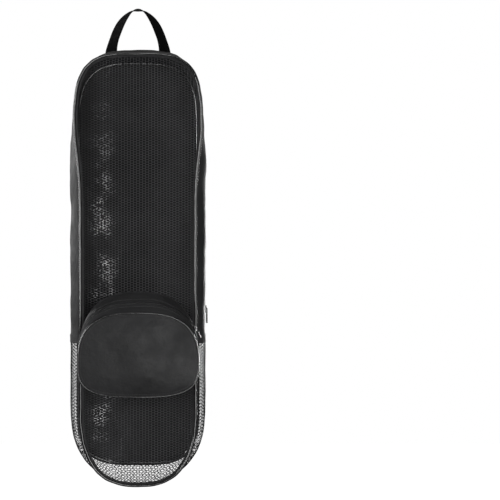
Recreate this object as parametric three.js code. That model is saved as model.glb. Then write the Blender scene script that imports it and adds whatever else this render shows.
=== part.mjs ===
// A long sling bag for swim fins: a see-through net front with a zipped pocket, a closed nylon back,
// a side wall that runs round the whole outline, a carry handle on top and one shoulder strap behind.
// Millimetres, +Z up. The front faces -Y and the back, which lies on the wearer, faces +Y.
// The origin is the hook point under the top of the handle, where the bag hangs.

import * as THREE from "three";
import { mergeVertices } from "three/addons/utils/BufferGeometryUtils.js";

// Clearance between two pieces that are sewn or pressed together.
const seamGap = 0.3;

// The body. Heights are measured down from the ridge of the side wall at the top of the bag.
const frontSeamDrop = 11; // from the ridge to the front panel's top seam
const backSeamDrop = 14.5;
const gussetDepth = 80; // between the front and back seams
const gussetRiseTop = 12.8; // how far the side wall swells past the seams, at the top
const gussetRiseShoulder = 5.5; // at the shoulders, which the handle pulls flat
const gussetRiseSide = 15; // at the two sides, below the shoulders
const gussetRiseBottom = 4; // at the bottom
const shoulderFrom = -90; // the shoulders' swell grows to the sides' from this height
const shoulderTo = -200;
const nylonReach = 462; // from the ridge down to where the nylon side wall ends and the net begins

// The two panels' outlines, at the middle of their piping.
const frontHalfWidth = 91.5;
const frontLength = 686.5;
const backHalfWidth = 97.5;
const backLength = 660;
const frontTopCorner = 87; // height of the rounded shoulders
const frontTopPower = 3.5; // 2 is an ellipse, more is squarer
const backTopCorner = 103;
const backTopPower = 3.1;
const frontBottomCorner = 125;
const frontBottomPower = 2.6;
const backBottomCorner = 110;
const backBottomPower = 3.8;
const frontFlare = 0.11; // the front panel is this share wider at its shoulders
const flareHeight = -115; // where it is widest
const flareReach = 75;
const frontSwell = 14; // how far the stuffed front stands out in the middle
const backSwell = 5;
const spineShare = 0.85; // the swell's flat middle line ends this share of a corner's height from its end

// Walls.
const nylonWall = 1.2;
const netWall = 1.0;
const backWall = 1.6;
const bodyPipingRadius = 2.5;

// The zip round the top of the side wall.
const backStripWidth = 12;
const zipTapeWidth = 16;
const zipTapeWall = 0.9;
const zipCoilWidth = 6;
const zipCoilRise = 1.6;
const zipSliderLength = 12;
const zipSliderWidth = 8;
const zipSliderWall = 2.8;
const zipPullLength = 24;
const zipPullWall = 1.6;
const zipPullLift = 0.8;

// The front pocket. Its face hangs lower than its base, so its top slopes down.
const pocketBaseTop = 377; // below the front panel's top seam
const pocketBaseLength = 158;
const pocketSideMargin = 5.5; // between the front piping and the pocket's base
const pocketBaseTopCorner = 66;
const pocketBaseTopPower = 2.3;
const pocketBaseBottomCorner = 50;
const pocketBaseBottomPower = 3;
const pocketDepth = 34; // from the middle of the net to the face's seam
const pocketFaceDrop = 33; // the face's top seam below the base's
const pocketFaceLength = 130;
const pocketFlare = 10; // how far the face stands out past the base at each side
const pocketFaceTopCorner = 80;
const pocketFaceTopPower = 2.75;
const pocketFaceBottomCorner = 50;
const pocketFaceBottomPower = 3.05;
const pocketFaceSwell = 6;
const pocketSideRise = 4; // swell of the pocket's own side wall
const pocketPipingRadius = 1.6;
const pocketZipReach = 0.2; // the pocket's zip runs this share of the outline down each side
const pocketRimWidth = 6; // side wall between the pocket's zip and its face
const pocketZipWidth = 10;
const pocketCoilWidth = 4.5;
const pocketCoilRise = 1.2;
const pocketSliderScale = 0.75; // of the main zip's slider

// The carry handle, a loop of narrow webbing that hangs from its top.
const handleRise = 68; // ridge of the bag to the middle of the webbing at the top
const handleSpread = 44; // half the distance between the legs where they leave the bag
const handleWidth = 20;
const handleWall = 1.8;
const handleSetback = 10; // the hook point behind the middle of the side wall
const handleFootInset = 7; // a foot's distance in front of the back seam

// The shoulder strap, its slider, its ring and the short piece that anchors the ring.
const strapWidth = 38;
const strapWall = 1.5;
const strapGap = 0.4; // between the strap and the swelling back panel
const hardwareWall = 3.2; // thickness of the slider and the ring
const hardwareBar = 4;
const hardwareRail = 4; // width of the rails at each side
const hardwareSideGap = 1;
const sliderCentreBar = 5;
const sliderSlot = 7;
const sliderAboveSeam = 190; // the slider's middle above the back panel's bottom seam
const ringSlot = 11;
const ringAboveSeam = 61;
const anchorFold = 14; // the sewn-down end of the anchor webbing below the ring
const strapEase = 16; // length over which the strap settles on to the panel past its hardware

// How finely the shapes are drawn.
const upperSteps = 19; // along one side, from the top to where the net begins
const lowerSteps = 13; // and on to the bottom
const panelRings = 6;
const pocketSteps = 24;
const pocketRings = 4;

// Soft hollows and folds of the two big panels. across is a share of the half width and down a share
// of the panel's length, at the middle of each; wide and tall are its size as the same shares, and
// depth is how far it sinks as a share of frontSwell.
const frontFolds = [
  { across: -0.55, down: 0.16, wide: 0.3, tall: 0.12, depth: 0.16 },
  { across: 0.5, down: 0.24, wide: 0.16, tall: 0.2, depth: 0.22 },
  { across: -0.3, down: 0.38, wide: 0.22, tall: 0.12, depth: 0.12 },
  { across: -0.6, down: 0.86, wide: 0.28, tall: 0.07, depth: 0.25 },
  { across: 0.35, down: 0.88, wide: 0.14, tall: 0.09, depth: 0.2 },
];
const backFolds = [
  { across: 0.62, down: 0.3, wide: 0.22, tall: 0.16, depth: 0.12 },
  { across: -0.62, down: 0.55, wide: 0.2, tall: 0.14, depth: 0.1 },
  { across: 0.6, down: 0.84, wide: 0.24, tall: 0.08, depth: 0.2 },
  { across: -0.55, down: 0.9, wide: 0.24, tall: 0.07, depth: 0.16 },
];

// The handle from one foot to the top: out is a share of handleSpread, up a share of handleRise, back
// the share of the way from the hook point to the foot, and twist how far the webbing is turned from
// flat to the front (0) to edge on (90 degrees).
const handleStations = [
  { out: 1.0, up: 0.0, back: 0.9, twist: 12 },
  { out: 0.97, up: 0.14, back: 0.74, twist: 30 },
  { out: 0.89, up: 0.32, back: 0.52, twist: 40 },
  { out: 0.78, up: 0.5, back: 0.34, twist: 42 },
  { out: 0.64, up: 0.68, back: 0.2, twist: 48 },
  { out: 0.46, up: 0.84, back: 0.1, twist: 60 },
  { out: 0.24, up: 0.965, back: 0.03, twist: 76 },
];

const materials = {
  nylon: new THREE.MeshStandardMaterial({ color: 0x2b2b2e, roughness: 0.6, metalness: 0 }),
  net: new THREE.MeshStandardMaterial({ color: 0x1b1b1e, roughness: 0.75, metalness: 0 }),
  webbing: new THREE.MeshStandardMaterial({ color: 0x242426, roughness: 0.8, metalness: 0 }),
  piping: new THREE.MeshStandardMaterial({ color: 0x161618, roughness: 0.3, metalness: 0 }),
  zip: new THREE.MeshStandardMaterial({ color: 0x1a1a1c, roughness: 0.5, metalness: 0 }),
  plastic: new THREE.MeshStandardMaterial({ color: 0x19191b, roughness: 0.35, metalness: 0 }),
};

// One side of a rounded outline, from the middle of its top to the middle of its bottom, mirrored to
// the other side. Its samples lie closer together where it turns.
class Outline {
  constructor({ halfWidth, top, length, topCorner, topPower, bottomCorner, bottomPower, flare = 0 }) {
    Object.assign(this, { halfWidth, top, length, topCorner, bottomCorner });
    this.bottom = top - length;
    const widened = (x, z) => x * (1 + flare * Math.exp(-(((z - flareHeight) / flareReach) ** 2)));
    const quarter = 60;
    const points = [];
    for (let k = 0; k <= quarter; k += 1) {
      const angle = (k / quarter) * (Math.PI / 2);
      const x = halfWidth * Math.sin(angle) ** (2 / topPower);
      const z = top - topCorner + topCorner * Math.cos(angle) ** (2 / topPower);
      points.push(new THREE.Vector2(widened(x, z), z));
    }
    for (let k = 1; k < quarter; k += 1) {
      const z = THREE.MathUtils.lerp(top - topCorner, this.bottom + bottomCorner, k / quarter);
      points.push(new THREE.Vector2(widened(halfWidth, z), z));
    }
    for (let k = 0; k <= quarter; k += 1) {
      const angle = (k / quarter) * (Math.PI / 2);
      const x = halfWidth * Math.cos(angle) ** (2 / bottomPower);
      const z = this.bottom + bottomCorner - bottomCorner * Math.sin(angle) ** (2 / bottomPower);
      points.push(new THREE.Vector2(x, z));
    }
    this.points = points;
    this.measure = this.measured(points);
  }

  // A running share that grows with both the length and the turning.
  measured(points) {
    const turnWeight = this.length / 6;
    const running = [0];
    for (let k = 1; k < points.length; k += 1) {
      const step = points[k].clone().sub(points[k - 1]);
      const before = points[Math.max(k - 1, 1)].clone().sub(points[Math.max(k - 1, 1) - 1]);
      const turn = step.length() > 0 && before.length() > 0 ? Math.abs(before.cross(step)) : 0;
      const angle = turn > 0 ? Math.asin(Math.min(1, turn / (step.length() * before.length()))) : 0;
      running.push(running[k - 1] + step.length() + turnWeight * angle);
    }
    return running.map((value) => value / running[running.length - 1]);
  }

  // The point at a share of the measure, from 0 at the top to 1 at the bottom of the right side.
  at(share) {
    const k = Math.max(1, this.measure.findIndex((value) => value >= share - 1e-12));
    const [low, high] = [this.measure[k - 1], this.measure[k]];
    const part = high > low ? (share - low) / (high - low) : 0;
    return this.points[k - 1].clone().lerp(this.points[k], THREE.MathUtils.clamp(part, 0, 1));
  }

  // The share at which the right side has come down to height z.
  shareAtHeight(z) {
    let [low, high] = [0, 1];
    for (let k = 0; k < 50; k += 1) {
      const middle = (low + high) / 2;
      if (this.at(middle).y > z) low = middle;
      else high = middle;
    }
    return (low + high) / 2;
  }

  // The whole loop's samples, clockwise seen from the front, with the right side's shares given.
  loop(shares) {
    const right = shares.map((share) => this.at(share));
    right[0].x = 0;
    right[right.length - 1].x = 0;
    const left = right.slice(1, -1).reverse().map((point) => new THREE.Vector2(-point.x, point.y));
    const points = [...right, ...left];
    return points.map((point, k) => {
      const next = points[(k + 1) % points.length];
      const previous = points[(k - 1 + points.length) % points.length];
      const along = next.clone().sub(previous).normalize();
      return { point, normal: new THREE.Vector2(-along.y, along.x) };
    });
  }

  spineTop() {
    return this.top - this.topCorner * spineShare;
  }

  spineBottom() {
    return this.bottom + this.bottomCorner * spineShare;
  }
}

// Shares that split one side into two runs of even steps, meeting where the side wall changes.
function splitShares(outline, height) {
  const middle = outline.shareAtHeight(height);
  const upper = Array.from({ length: upperSteps }, (_, k) => (middle * k) / upperSteps);
  const lower = Array.from({ length: lowerSteps + 1 }, (_, k) => middle + ((1 - middle) * k) / lowerSteps);
  return [...upper, ...lower];
}

function evenShares(steps) {
  return Array.from({ length: steps + 1 }, (_, k) => k / steps);
}

// A closed solid between two grids of points. Each row has an outer and an inner list. The rows close
// into a ring or end in two walls, and a panel's first column, its middle line, needs no wall.
function shell(rows, { ring = false, middleLine = false } = {}) {
  const positions = [];
  const triangle = (a, b, c) => {
    const same = (p, q) => p.distanceTo(q) < 1e-4;
    if (same(a, b) || same(b, c) || same(c, a)) return;
    positions.push(...a.toArray(), ...b.toArray(), ...c.toArray());
  };
  const quad = (a, b, c, d) => {
    triangle(a, b, c);
    triangle(a, c, d);
  };
  const columns = rows[0].outer.length - 1;
  const pairs = ring ? rows.length : rows.length - 1;
  for (let k = 0; k < pairs; k += 1) {
    const here = rows[k];
    const next = rows[(k + 1) % rows.length];
    for (let j = 0; j < columns; j += 1) {
      quad(here.outer[j], here.outer[j + 1], next.outer[j + 1], next.outer[j]);
      quad(here.inner[j], next.inner[j], next.inner[j + 1], here.inner[j + 1]);
    }
    if (!middleLine) quad(here.outer[0], next.outer[0], next.inner[0], here.inner[0]);
    quad(here.outer[columns], here.inner[columns], next.inner[columns], next.outer[columns]);
  }
  if (!ring) {
    const [first, last] = [rows[0], rows[rows.length - 1]];
    for (let j = 0; j < columns; j += 1) {
      quad(first.outer[j], first.inner[j], first.inner[j + 1], first.outer[j + 1]);
      quad(last.outer[j], last.outer[j + 1], last.inner[j + 1], last.inner[j]);
    }
  }
  return facingOut(positions);
}

// A geometry of these corners, turned round if its faces point inwards.
function facingOut(positions) {
  let volume = 0;
  const corner = (k) => new THREE.Vector3().fromArray(positions, 3 * k);
  for (let k = 0; k < positions.length / 3; k += 3) {
    volume += corner(k).dot(corner(k + 1).cross(corner(k + 2)));
  }
  if (volume < 0) {
    for (let k = 0; k < positions.length; k += 9) {
      for (let n = 0; n < 3; n += 1) {
        [positions[k + n], positions[k + 3 + n]] = [positions[k + 3 + n], positions[k + n]];
      }
    }
  }
  const geometry = new THREE.BufferGeometry();
  geometry.setAttribute("position", new THREE.Float32BufferAttribute(positions, 3));
  return mergeVertices(geometry, 1e-4);
}

function meshOf(name, geometry, material) {
  const mesh = new THREE.Mesh(geometry, material);
  mesh.name = name;
  return mesh;
}

// The sum of soft hollows at a point of a panel.
function foldDepth(folds, outline, x, z) {
  return folds.reduce((sum, fold) => {
    const across = (x / outline.halfWidth - fold.across) / fold.wide;
    const down = ((outline.top - z) / outline.length - fold.down) / fold.tall;
    return sum + fold.depth * frontSwell * Math.exp(-(across ** 2) - down ** 2);
  }, 0);
}

// A swelling panel inside a loop of piping. facing is -1 for the front and 1 for the back.
function panelRows(panel) {
  const { outline, shares, facing, seamY, swell, wall, folds, inset, rings } = panel;
  return outline.loop(shares).map(({ point, normal }) => {
    const edge = point.clone().addScaledVector(normal, -inset);
    const spineZ = THREE.MathUtils.clamp(point.y, outline.spineBottom(), outline.spineTop());
    const spine = new THREE.Vector2(0, spineZ);
    const row = { outer: [], inner: [] };
    for (let j = 0; j <= rings; j += 1) {
      const share = j / rings;
      const at = spine.clone().lerp(edge, share);
      const stand = (swell - foldDepth(folds, outline, at.x, at.y)) * (1 - share ** 2);
      const y = seamY + facing * stand;
      row.outer.push(new THREE.Vector3(at.x, y + facing * wall / 2, at.y));
      row.inner.push(new THREE.Vector3(at.x, y - facing * wall / 2, at.y));
    }
    return row;
  });
}

// A round piping along a loop that lies in one plane of depth y.
function pipingGeometry(outline, shares, y, radius) {
  const sides = 6;
  const rows = outline.loop(shares).map(({ point, normal }) => {
    const ring = [];
    for (let k = 0; k < sides; k += 1) {
      const angle = ((k + 0.5) / sides) * Math.PI * 2;
      const out = point.clone().addScaledVector(normal, radius * Math.cos(angle));
      ring.push(new THREE.Vector3(out.x, y + radius * Math.sin(angle), out.y));
    }
    return ring;
  });
  const half = sides / 2;
  return shell(
    rows.map((ring) => ({
      outer: ring.slice(0, half + 1),
      inner: [ring[0], ...ring.slice(half, sides).reverse()].slice(0, half + 1),
    })),
    { ring: true },
  );
}

// A side wall between two loops, near and far, that swells outwards by rise(k) half way.
class SideWall {
  constructor({ near, far, nearY, farY, rise }) {
    Object.assign(this, { near, far, nearY, farY, rise });
  }

  // A point of the wall: k is the sample along the loops, v the share from near to far, and lift
  // the height above the wall's outer face.
  at(k, v, lift) {
    const count = this.near.length;
    const [a, b] = [this.near[((k % count) + count) % count], this.far[((k % count) + count) % count]];
    const base = a.point.clone().lerp(b.point, v);
    const normal = a.normal.clone().lerp(b.normal, v).normalize();
    const [nearY, farY] = [this.nearY(a.point), this.farY(b.point)];
    const depth = Math.abs(farY - nearY);
    const run = b.point.clone().sub(a.point).dot(normal);
    const rise = this.rise(normal, base.y);
    // A sewn edge stands square on the piece that carries it.
    const slope = v === 0 ? 0 : Math.atan2(run + rise * Math.PI * Math.cos(Math.PI * v), depth);
    const toFar = Math.sign(farY - nearY);
    const out = rise * Math.sin(Math.PI * v) + lift * Math.cos(slope);
    base.addScaledVector(normal, out);
    const y = THREE.MathUtils.lerp(nearY, farY, v) - toFar * lift * Math.sin(slope);
    return new THREE.Vector3(base.x, y, base.y);
  }

  // The share of the way across at which the wall is a distance from its near or far edge.
  shareFromEdge(k, distance, farEdge) {
    const edge = this.at(k, farEdge ? 1 : 0, 0);
    let [low, high] = [0, 0.5];
    for (let n = 0; n < 40; n += 1) {
      const middle = (low + high) / 2;
      const point = this.at(k, farEdge ? 1 - middle : middle, 0);
      if (point.distanceTo(edge) < distance) low = middle;
      else high = middle;
    }
    return farEdge ? 1 - low : low;
  }

  // Rows from sample first to sample last. across(k) gives the columns: share, top and foot.
  rows(first, last, across) {
    const rows = [];
    for (let k = first; k <= last; k += 1) {
      const columns = across(k);
      rows.push({
        outer: columns.map(({ share, top }) => this.at(k, share, top)),
        inner: columns.map(({ share, foot }) => this.at(k, share, foot)),
      });
    }
    return rows;
  }
}

// Even columns of a plain cloth band.
function clothColumns(from, to, count, wall) {
  return Array.from({ length: count + 1 }, (_, j) => ({
    share: THREE.MathUtils.lerp(from, to, j / count),
    top: 0,
    foot: -wall,
  }));
}

// Columns of a zip: its tape and, along the middle, the raised coil.
function zipColumns(from, to, coilShare, rise) {
  const middle = (from + to) / 2;
  const slant = coilShare * 0.25;
  const flat = { top: 0, foot: -zipTapeWall };
  const raised = { top: rise, foot: -zipTapeWall };
  return [
    { share: from, ...flat },
    { share: middle - coilShare / 2, ...flat },
    { share: middle - coilShare / 2 + slant, ...raised },
    { share: middle + coilShare / 2 - slant, ...raised },
    { share: middle + coilShare / 2, ...flat },
    { share: to, ...flat },
  ];
}

// The slider of a zip with its pull, one plain piece, seen from the side: x runs along the zip, y
// out from it. The piece is as wide as the slider.
function zipSliderGeometry(scale) {
  const length = zipSliderLength * scale;
  const wall = zipSliderWall * scale;
  const pullTop = wall + zipPullLift + zipPullWall;
  const bridge = length / 3;
  const profile = new THREE.Shape();
  profile.moveTo(0, 0);
  profile.lineTo(length, 0);
  profile.lineTo(length, wall);
  profile.lineTo(length / 2 + bridge / 2, wall);
  profile.lineTo(length / 2 + bridge / 2, pullTop);
  profile.lineTo(length / 2 - zipPullLength * scale, pullTop);
  profile.lineTo(length / 2 - zipPullLength * scale, pullTop - zipPullWall);
  profile.lineTo(length / 2 - bridge / 2, pullTop - zipPullWall);
  profile.lineTo(length / 2 - bridge / 2, wall);
  profile.lineTo(0, wall);
  profile.closePath();
  const width = zipSliderWidth * scale;
  const geometry = new THREE.ExtrudeGeometry(profile, { depth: width, bevelEnabled: false });
  return geometry.translate(0, 0, -width / 2);
}

// Places a geometry whose x runs along a side wall's loop and whose y points out of the wall.
function seatOnWall(mesh, wall, k, share, lift) {
  const here = wall.at(k, share, lift);
  const along = wall.at(k - 1, share, lift).sub(here).normalize();
  const out = wall.at(k, share, lift + 1).sub(here);
  out.addScaledVector(along, -out.dot(along)).normalize();
  mesh.matrix.makeBasis(along, out, along.clone().cross(out));
  mesh.matrix.setPosition(here);
  mesh.matrix.decompose(mesh.position, mesh.quaternion, mesh.scale);
  return mesh;
}

// A strip of webbing whose middle line lies in the plane x = 0, as a list of {out, z}.
function webbingGeometry(line, width, wall) {
  const points = line.map(({ out, z }) => new THREE.Vector2(out, z));
  const side = (sign) =>
    points.map((point, k) => {
      const before = point.clone().sub(points[Math.max(k - 1, 0)]).normalize();
      const after = points[Math.min(k + 1, points.length - 1)].clone().sub(point).normalize();
      const along = before.clone().add(after).normalize();
      const stretch = 1 / Math.max(0.6, k > 0 && k < points.length - 1 ? along.dot(after) : 1);
      const normal = new THREE.Vector2(-along.y, along.x);
      return point.clone().addScaledVector(normal, (sign * stretch * wall) / 2);
    });
  const profile = new THREE.Shape([...side(1), ...side(-1).reverse()]);
  const geometry = new THREE.ExtrudeGeometry(profile, { depth: width, bevelEnabled: false });
  geometry.translate(0, 0, -width / 2);
  const [x, y, z] = [new THREE.Vector3(0, 1, 0), new THREE.Vector3(0, 0, 1), new THREE.Vector3(1, 0, 0)];
  return geometry.applyMatrix4(new THREE.Matrix4().makeBasis(x, y, z));
}

// A flat moulded frame with slots one above another, standing in the XZ plane, its face outwards.
function frameGeometry(width, bars, slots) {
  const corner = hardwareBar / 2;
  const height = [...bars, ...slots].reduce((sum, size) => sum + size, 0);
  const rectangle = (Kind, w, low, high, r) => {
    const path = new Kind();
    path.moveTo(-w / 2 + r, low);
    path.lineTo(w / 2 - r, low);
    path.absarc(w / 2 - r, low + r, r, -Math.PI / 2, 0, false);
    path.absarc(w / 2 - r, high - r, r, 0, Math.PI / 2, false);
    path.absarc(-w / 2 + r, high - r, r, Math.PI / 2, Math.PI, false);
    path.absarc(-w / 2 + r, low + r, r, Math.PI, Math.PI * 1.5, false);
    return path;
  };
  const plate = rectangle(THREE.Shape, width, -height / 2, height / 2, corner);
  let z = height / 2;
  slots.forEach((slot, k) => {
    z -= bars[k];
    plate.holes.push(rectangle(THREE.Path, width - 2 * hardwareRail, z - slot, z, slot / 6));
    z -= slot;
  });
  const geometry = new THREE.ExtrudeGeometry(plate, {
    depth: hardwareWall,
    bevelEnabled: false,
    curveSegments: 3,
  });
  geometry.translate(0, 0, -hardwareWall / 2);
  const [x, y, out] = [new THREE.Vector3(1, 0, 0), new THREE.Vector3(0, 0, 1), new THREE.Vector3(0, -1, 0)];
  return geometry.applyMatrix4(new THREE.Matrix4().makeBasis(x, y, out));
}

const frontOutline = new Outline({
  halfWidth: frontHalfWidth,
  top: -frontSeamDrop,
  length: frontLength,
  topCorner: frontTopCorner,
  topPower: frontTopPower,
  bottomCorner: frontBottomCorner,
  bottomPower: frontBottomPower,
  flare: frontFlare,
});
const backOutline = new Outline({
  halfWidth: backHalfWidth,
  top: -backSeamDrop,
  length: backLength,
  topCorner: backTopCorner,
  topPower: backTopPower,
  bottomCorner: backBottomCorner,
  bottomPower: backBottomPower,
});
const frontShares = splitShares(frontOutline, -nylonReach);
const backShares = splitShares(backOutline, -nylonReach);
const frontY = -gussetDepth / 2;
const backY = gussetDepth / 2;

// The side wall of the whole bag swells most at the sides, where the bag is stuffed.
const gusset = new SideWall({
  near: frontOutline.loop(frontShares),
  far: backOutline.loop(backShares),
  nearY: () => frontY,
  farY: () => backY,
  rise: (normal, z) => {
    const low = THREE.MathUtils.smoothstep(shoulderFrom - z, 0, shoulderFrom - shoulderTo);
    const side = THREE.MathUtils.lerp(gussetRiseShoulder, gussetRiseSide, low);
    return normal.y > 0
      ? THREE.MathUtils.lerp(side, gussetRiseTop, normal.y ** 4)
      : THREE.MathUtils.lerp(side, gussetRiseBottom, -normal.y);
  },
});
const gussetEdge = bodyPipingRadius + seamGap;

function makePanels() {
  const inset = bodyPipingRadius + seamGap;
  const front = panelRows({
    outline: frontOutline,
    shares: frontShares,
    facing: -1,
    seamY: frontY,
    swell: frontSwell,
    wall: netWall,
    folds: frontFolds,
    inset,
    rings: panelRings,
  });
  const back = panelRows({
    outline: backOutline,
    shares: backShares,
    facing: 1,
    seamY: backY,
    swell: backSwell,
    wall: backWall,
    folds: backFolds,
    inset,
    rings: panelRings,
  });
  const options = { ring: true, middleLine: true };
  return [
    meshOf("front_net_panel", shell(front, options), materials.net),
    meshOf("back_panel", shell(back, options), materials.nylon),
    meshOf(
      "front_piping",
      pipingGeometry(frontOutline, frontShares, frontY, bodyPipingRadius),
      materials.piping,
    ),
    meshOf(
      "back_piping",
      pipingGeometry(backOutline, backShares, backY, bodyPipingRadius),
      materials.piping,
    ),
  ];
}

function makeGusset() {
  const zipTo = 1 - backStripWidth / gussetDepth;
  const zipFrom = zipTo - zipTapeWidth / gussetDepth;
  const half = seamGap / gussetDepth / 2;
  const near = (k) => gusset.shareFromEdge(k, gussetEdge, false);
  const far = (k) => gusset.shareFromEdge(k, gussetEdge, true);
  const top = [-upperSteps, upperSteps];
  const coil = zipCoilWidth / gussetDepth;
  const frontStrip = gusset.rows(...top, (k) => clothColumns(near(k), zipFrom - half, 4, nylonWall));
  const zip = gusset.rows(...top, () => zipColumns(zipFrom + half, zipTo - half, coil, zipCoilRise));
  const backStrip = gusset.rows(...top, (k) => clothColumns(zipTo + half, far(k), 2, nylonWall));
  // The net part starts a seam's gap past the last sample of the nylon part.
  const bottomRows = gusset.rows(upperSteps, upperSteps + 2 * lowerSteps, (k) =>
    clothColumns(near(k), far(k), 6, netWall),
  );
  [bottomRows[0], bottomRows[bottomRows.length - 1]].forEach((row) => {
    [...row.outer, ...row.inner].forEach((point) => {
      point.z -= seamGap;
    });
  });
  const slider = seatOnWall(
    meshOf("main_zip_slider", zipSliderGeometry(1), materials.plastic),
    gusset,
    upperSteps - 1,
    (zipFrom + zipTo) / 2,
    zipCoilRise + seamGap,
  );
  return [
    meshOf("gusset_front_strip", shell(frontStrip), materials.nylon),
    meshOf("main_zip", shell(zip), materials.zip),
    meshOf("gusset_back_strip", shell(backStrip), materials.nylon),
    meshOf("gusset_net", shell(bottomRows), materials.net),
    slider,
  ];
}

function makePocket() {
  const base = new Outline({
    halfWidth: frontHalfWidth - bodyPipingRadius - pocketSideMargin,
    top: frontOutline.top - pocketBaseTop,
    length: pocketBaseLength,
    topCorner: pocketBaseTopCorner,
    topPower: pocketBaseTopPower,
    bottomCorner: pocketBaseBottomCorner,
    bottomPower: pocketBaseBottomPower,
  });
  const face = new Outline({
    halfWidth: base.halfWidth + pocketFlare,
    top: base.top - pocketFaceDrop,
    length: pocketFaceLength,
    topCorner: pocketFaceTopCorner,
    topPower: pocketFaceTopPower,
    bottomCorner: pocketFaceBottomCorner,
    bottomPower: pocketFaceBottomPower,
  });
  const shares = evenShares(pocketSteps);
  const faceY = frontY - frontSwell - pocketDepth;
  const netHalfWidth = frontHalfWidth - bodyPipingRadius - seamGap;
  // The base is sewn on to the net, a seam's gap in front of the swelling panel.
  const netY = (point) => {
    const stand = frontSwell - foldDepth(frontFolds, frontOutline, point.x, point.y);
    return frontY - stand * (1 - (point.x / netHalfWidth) ** 2) - netWall / 2 - seamGap;
  };
  const wall = new SideWall({
    near: base.loop(shares),
    far: face.loop(shares),
    nearY: netY,
    farY: () => faceY,
    rise: () => pocketSideRise,
  });
  const reach = Math.round(pocketSteps * 2 * pocketZipReach);
  const depth = (k) => Math.abs(faceY - netY(wall.near[(k + 2 * pocketSteps) % (2 * pocketSteps)].point));
  const far = (k) => wall.shareFromEdge(k, pocketPipingRadius + seamGap, true);
  const zipTo = (k) => far(k) - pocketRimWidth / depth(k);
  const zipFrom = (k) => zipTo(k) - pocketZipWidth / depth(k);
  const half = (k) => seamGap / depth(k) / 2;
  const top = [-reach, reach];
  const crown = wall.rows(...top, (k) => clothColumns(0, zipFrom(k) - half(k), 2, nylonWall));
  const zip = wall.rows(...top, (k) =>
    zipColumns(zipFrom(k) + half(k), zipTo(k) - half(k), pocketCoilWidth / depth(k), pocketCoilRise),
  );
  const rim = wall.rows(...top, (k) => clothColumns(zipTo(k) + half(k), far(k), 1, nylonWall));
  const under = wall.rows(reach, 2 * pocketSteps - reach, (k) => clothColumns(0, far(k), 4, nylonWall));
  [under[0], under[under.length - 1]].forEach((row) => {
    [...row.outer, ...row.inner].forEach((point) => {
      point.z -= seamGap;
    });
  });
  const panel = panelRows({
    outline: face,
    shares,
    facing: -1,
    seamY: faceY,
    swell: pocketFaceSwell,
    wall: nylonWall,
    folds: [],
    inset: pocketPipingRadius + seamGap,
    rings: pocketRings,
  });
  const sliderAt = reach - 1;
  const slider = seatOnWall(
    meshOf("pocket_zip_slider", zipSliderGeometry(pocketSliderScale), materials.plastic),
    wall,
    sliderAt,
    (zipFrom(sliderAt) + zipTo(sliderAt)) / 2,
    pocketCoilRise + seamGap,
  );
  return [
    meshOf("pocket_crown", shell(crown), materials.nylon),
    meshOf("pocket_zip", shell(zip), materials.zip),
    meshOf("pocket_rim", shell(rim), materials.nylon),
    meshOf("pocket_underside", shell(under), materials.nylon),
    meshOf("pocket_face", shell(panel, { ring: true, middleLine: true }), materials.nylon),
    meshOf("pocket_piping", pipingGeometry(face, shares, faceY, pocketPipingRadius), materials.piping),
    slider,
  ];
}

// The handle: each foot stands on the side wall's back strip, and the webbing turns edge on at the top.
function makeHandle() {
  const footY = backY - handleFootInset;
  const station = ({ out, up, back, twist }, side) => ({
    centre: new THREE.Vector3(
      side * out * handleSpread,
      THREE.MathUtils.lerp(handleSetback, footY, back),
      up * handleRise,
    ),
    twist: THREE.MathUtils.degToRad(twist),
  });
  const foot = (side) => {
    const miss = (k) => Math.abs(gusset.far[k].point.x - handleSpread);
    const samples = Array.from({ length: upperSteps }, (_, k) => k);
    const nearest = samples.reduce((best, k) => (miss(k) < miss(best) ? k : best));
    const v = 1 - handleFootInset / gussetDepth;
    const on = gusset.at(side * nearest, v, seamGap + handleWall);
    return { centre: new THREE.Vector3(side * handleSpread, on.y, on.z + 2 * seamGap), twist: 0 };
  };
  const left = [foot(-1), ...handleStations.map((row) => station(row, -1))];
  const right = [foot(1), ...handleStations.map((row) => station(row, 1))].reverse();
  const crown = station({ out: 0, up: 1, back: 0, twist: 90 }, 1);
  const stations = [...left, crown, ...right];
  const rows = stations.map(({ centre, twist }, k) => {
    const before = stations[Math.max(k - 1, 0)].centre;
    const after = stations[Math.min(k + 1, stations.length - 1)].centre;
    const along = after.clone().sub(before);
    along.y = 0;
    along.normalize();
    const outwards = new THREE.Vector3(-along.z, 0, along.x);
    const wide = outwards.clone().multiplyScalar(Math.cos(twist));
    wide.y = Math.sin(twist);
    const thick = along.clone().cross(wide).multiplyScalar(handleWall / 2);
    wide.multiplyScalar(handleWidth / 2);
    const corner = (w, t) => centre.clone().addScaledVector(wide, w).addScaledVector(thick, t);
    return { outer: [corner(-1, 1), corner(1, 1)], inner: [corner(-1, -1), corner(1, -1)] };
  });
  return [meshOf("carry_handle", shell(rows), materials.webbing)];
}

// The height of the back panel's outer face along its middle line.
function backFaceAt(z) {
  const top = backOutline.spineTop();
  const bottom = backOutline.spineBottom();
  const inset = bodyPipingRadius + seamGap;
  let share = 0;
  if (z > top) share = (z - top) / (backOutline.top - inset - top);
  if (z < bottom) share = (bottom - z) / (bottom - backOutline.bottom - inset);
  const stand = backSwell - foldDepth(backFolds, backOutline, 0, z);
  return backY + stand * (1 - Math.min(1, share) ** 2) + backWall / 2;
}

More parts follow.
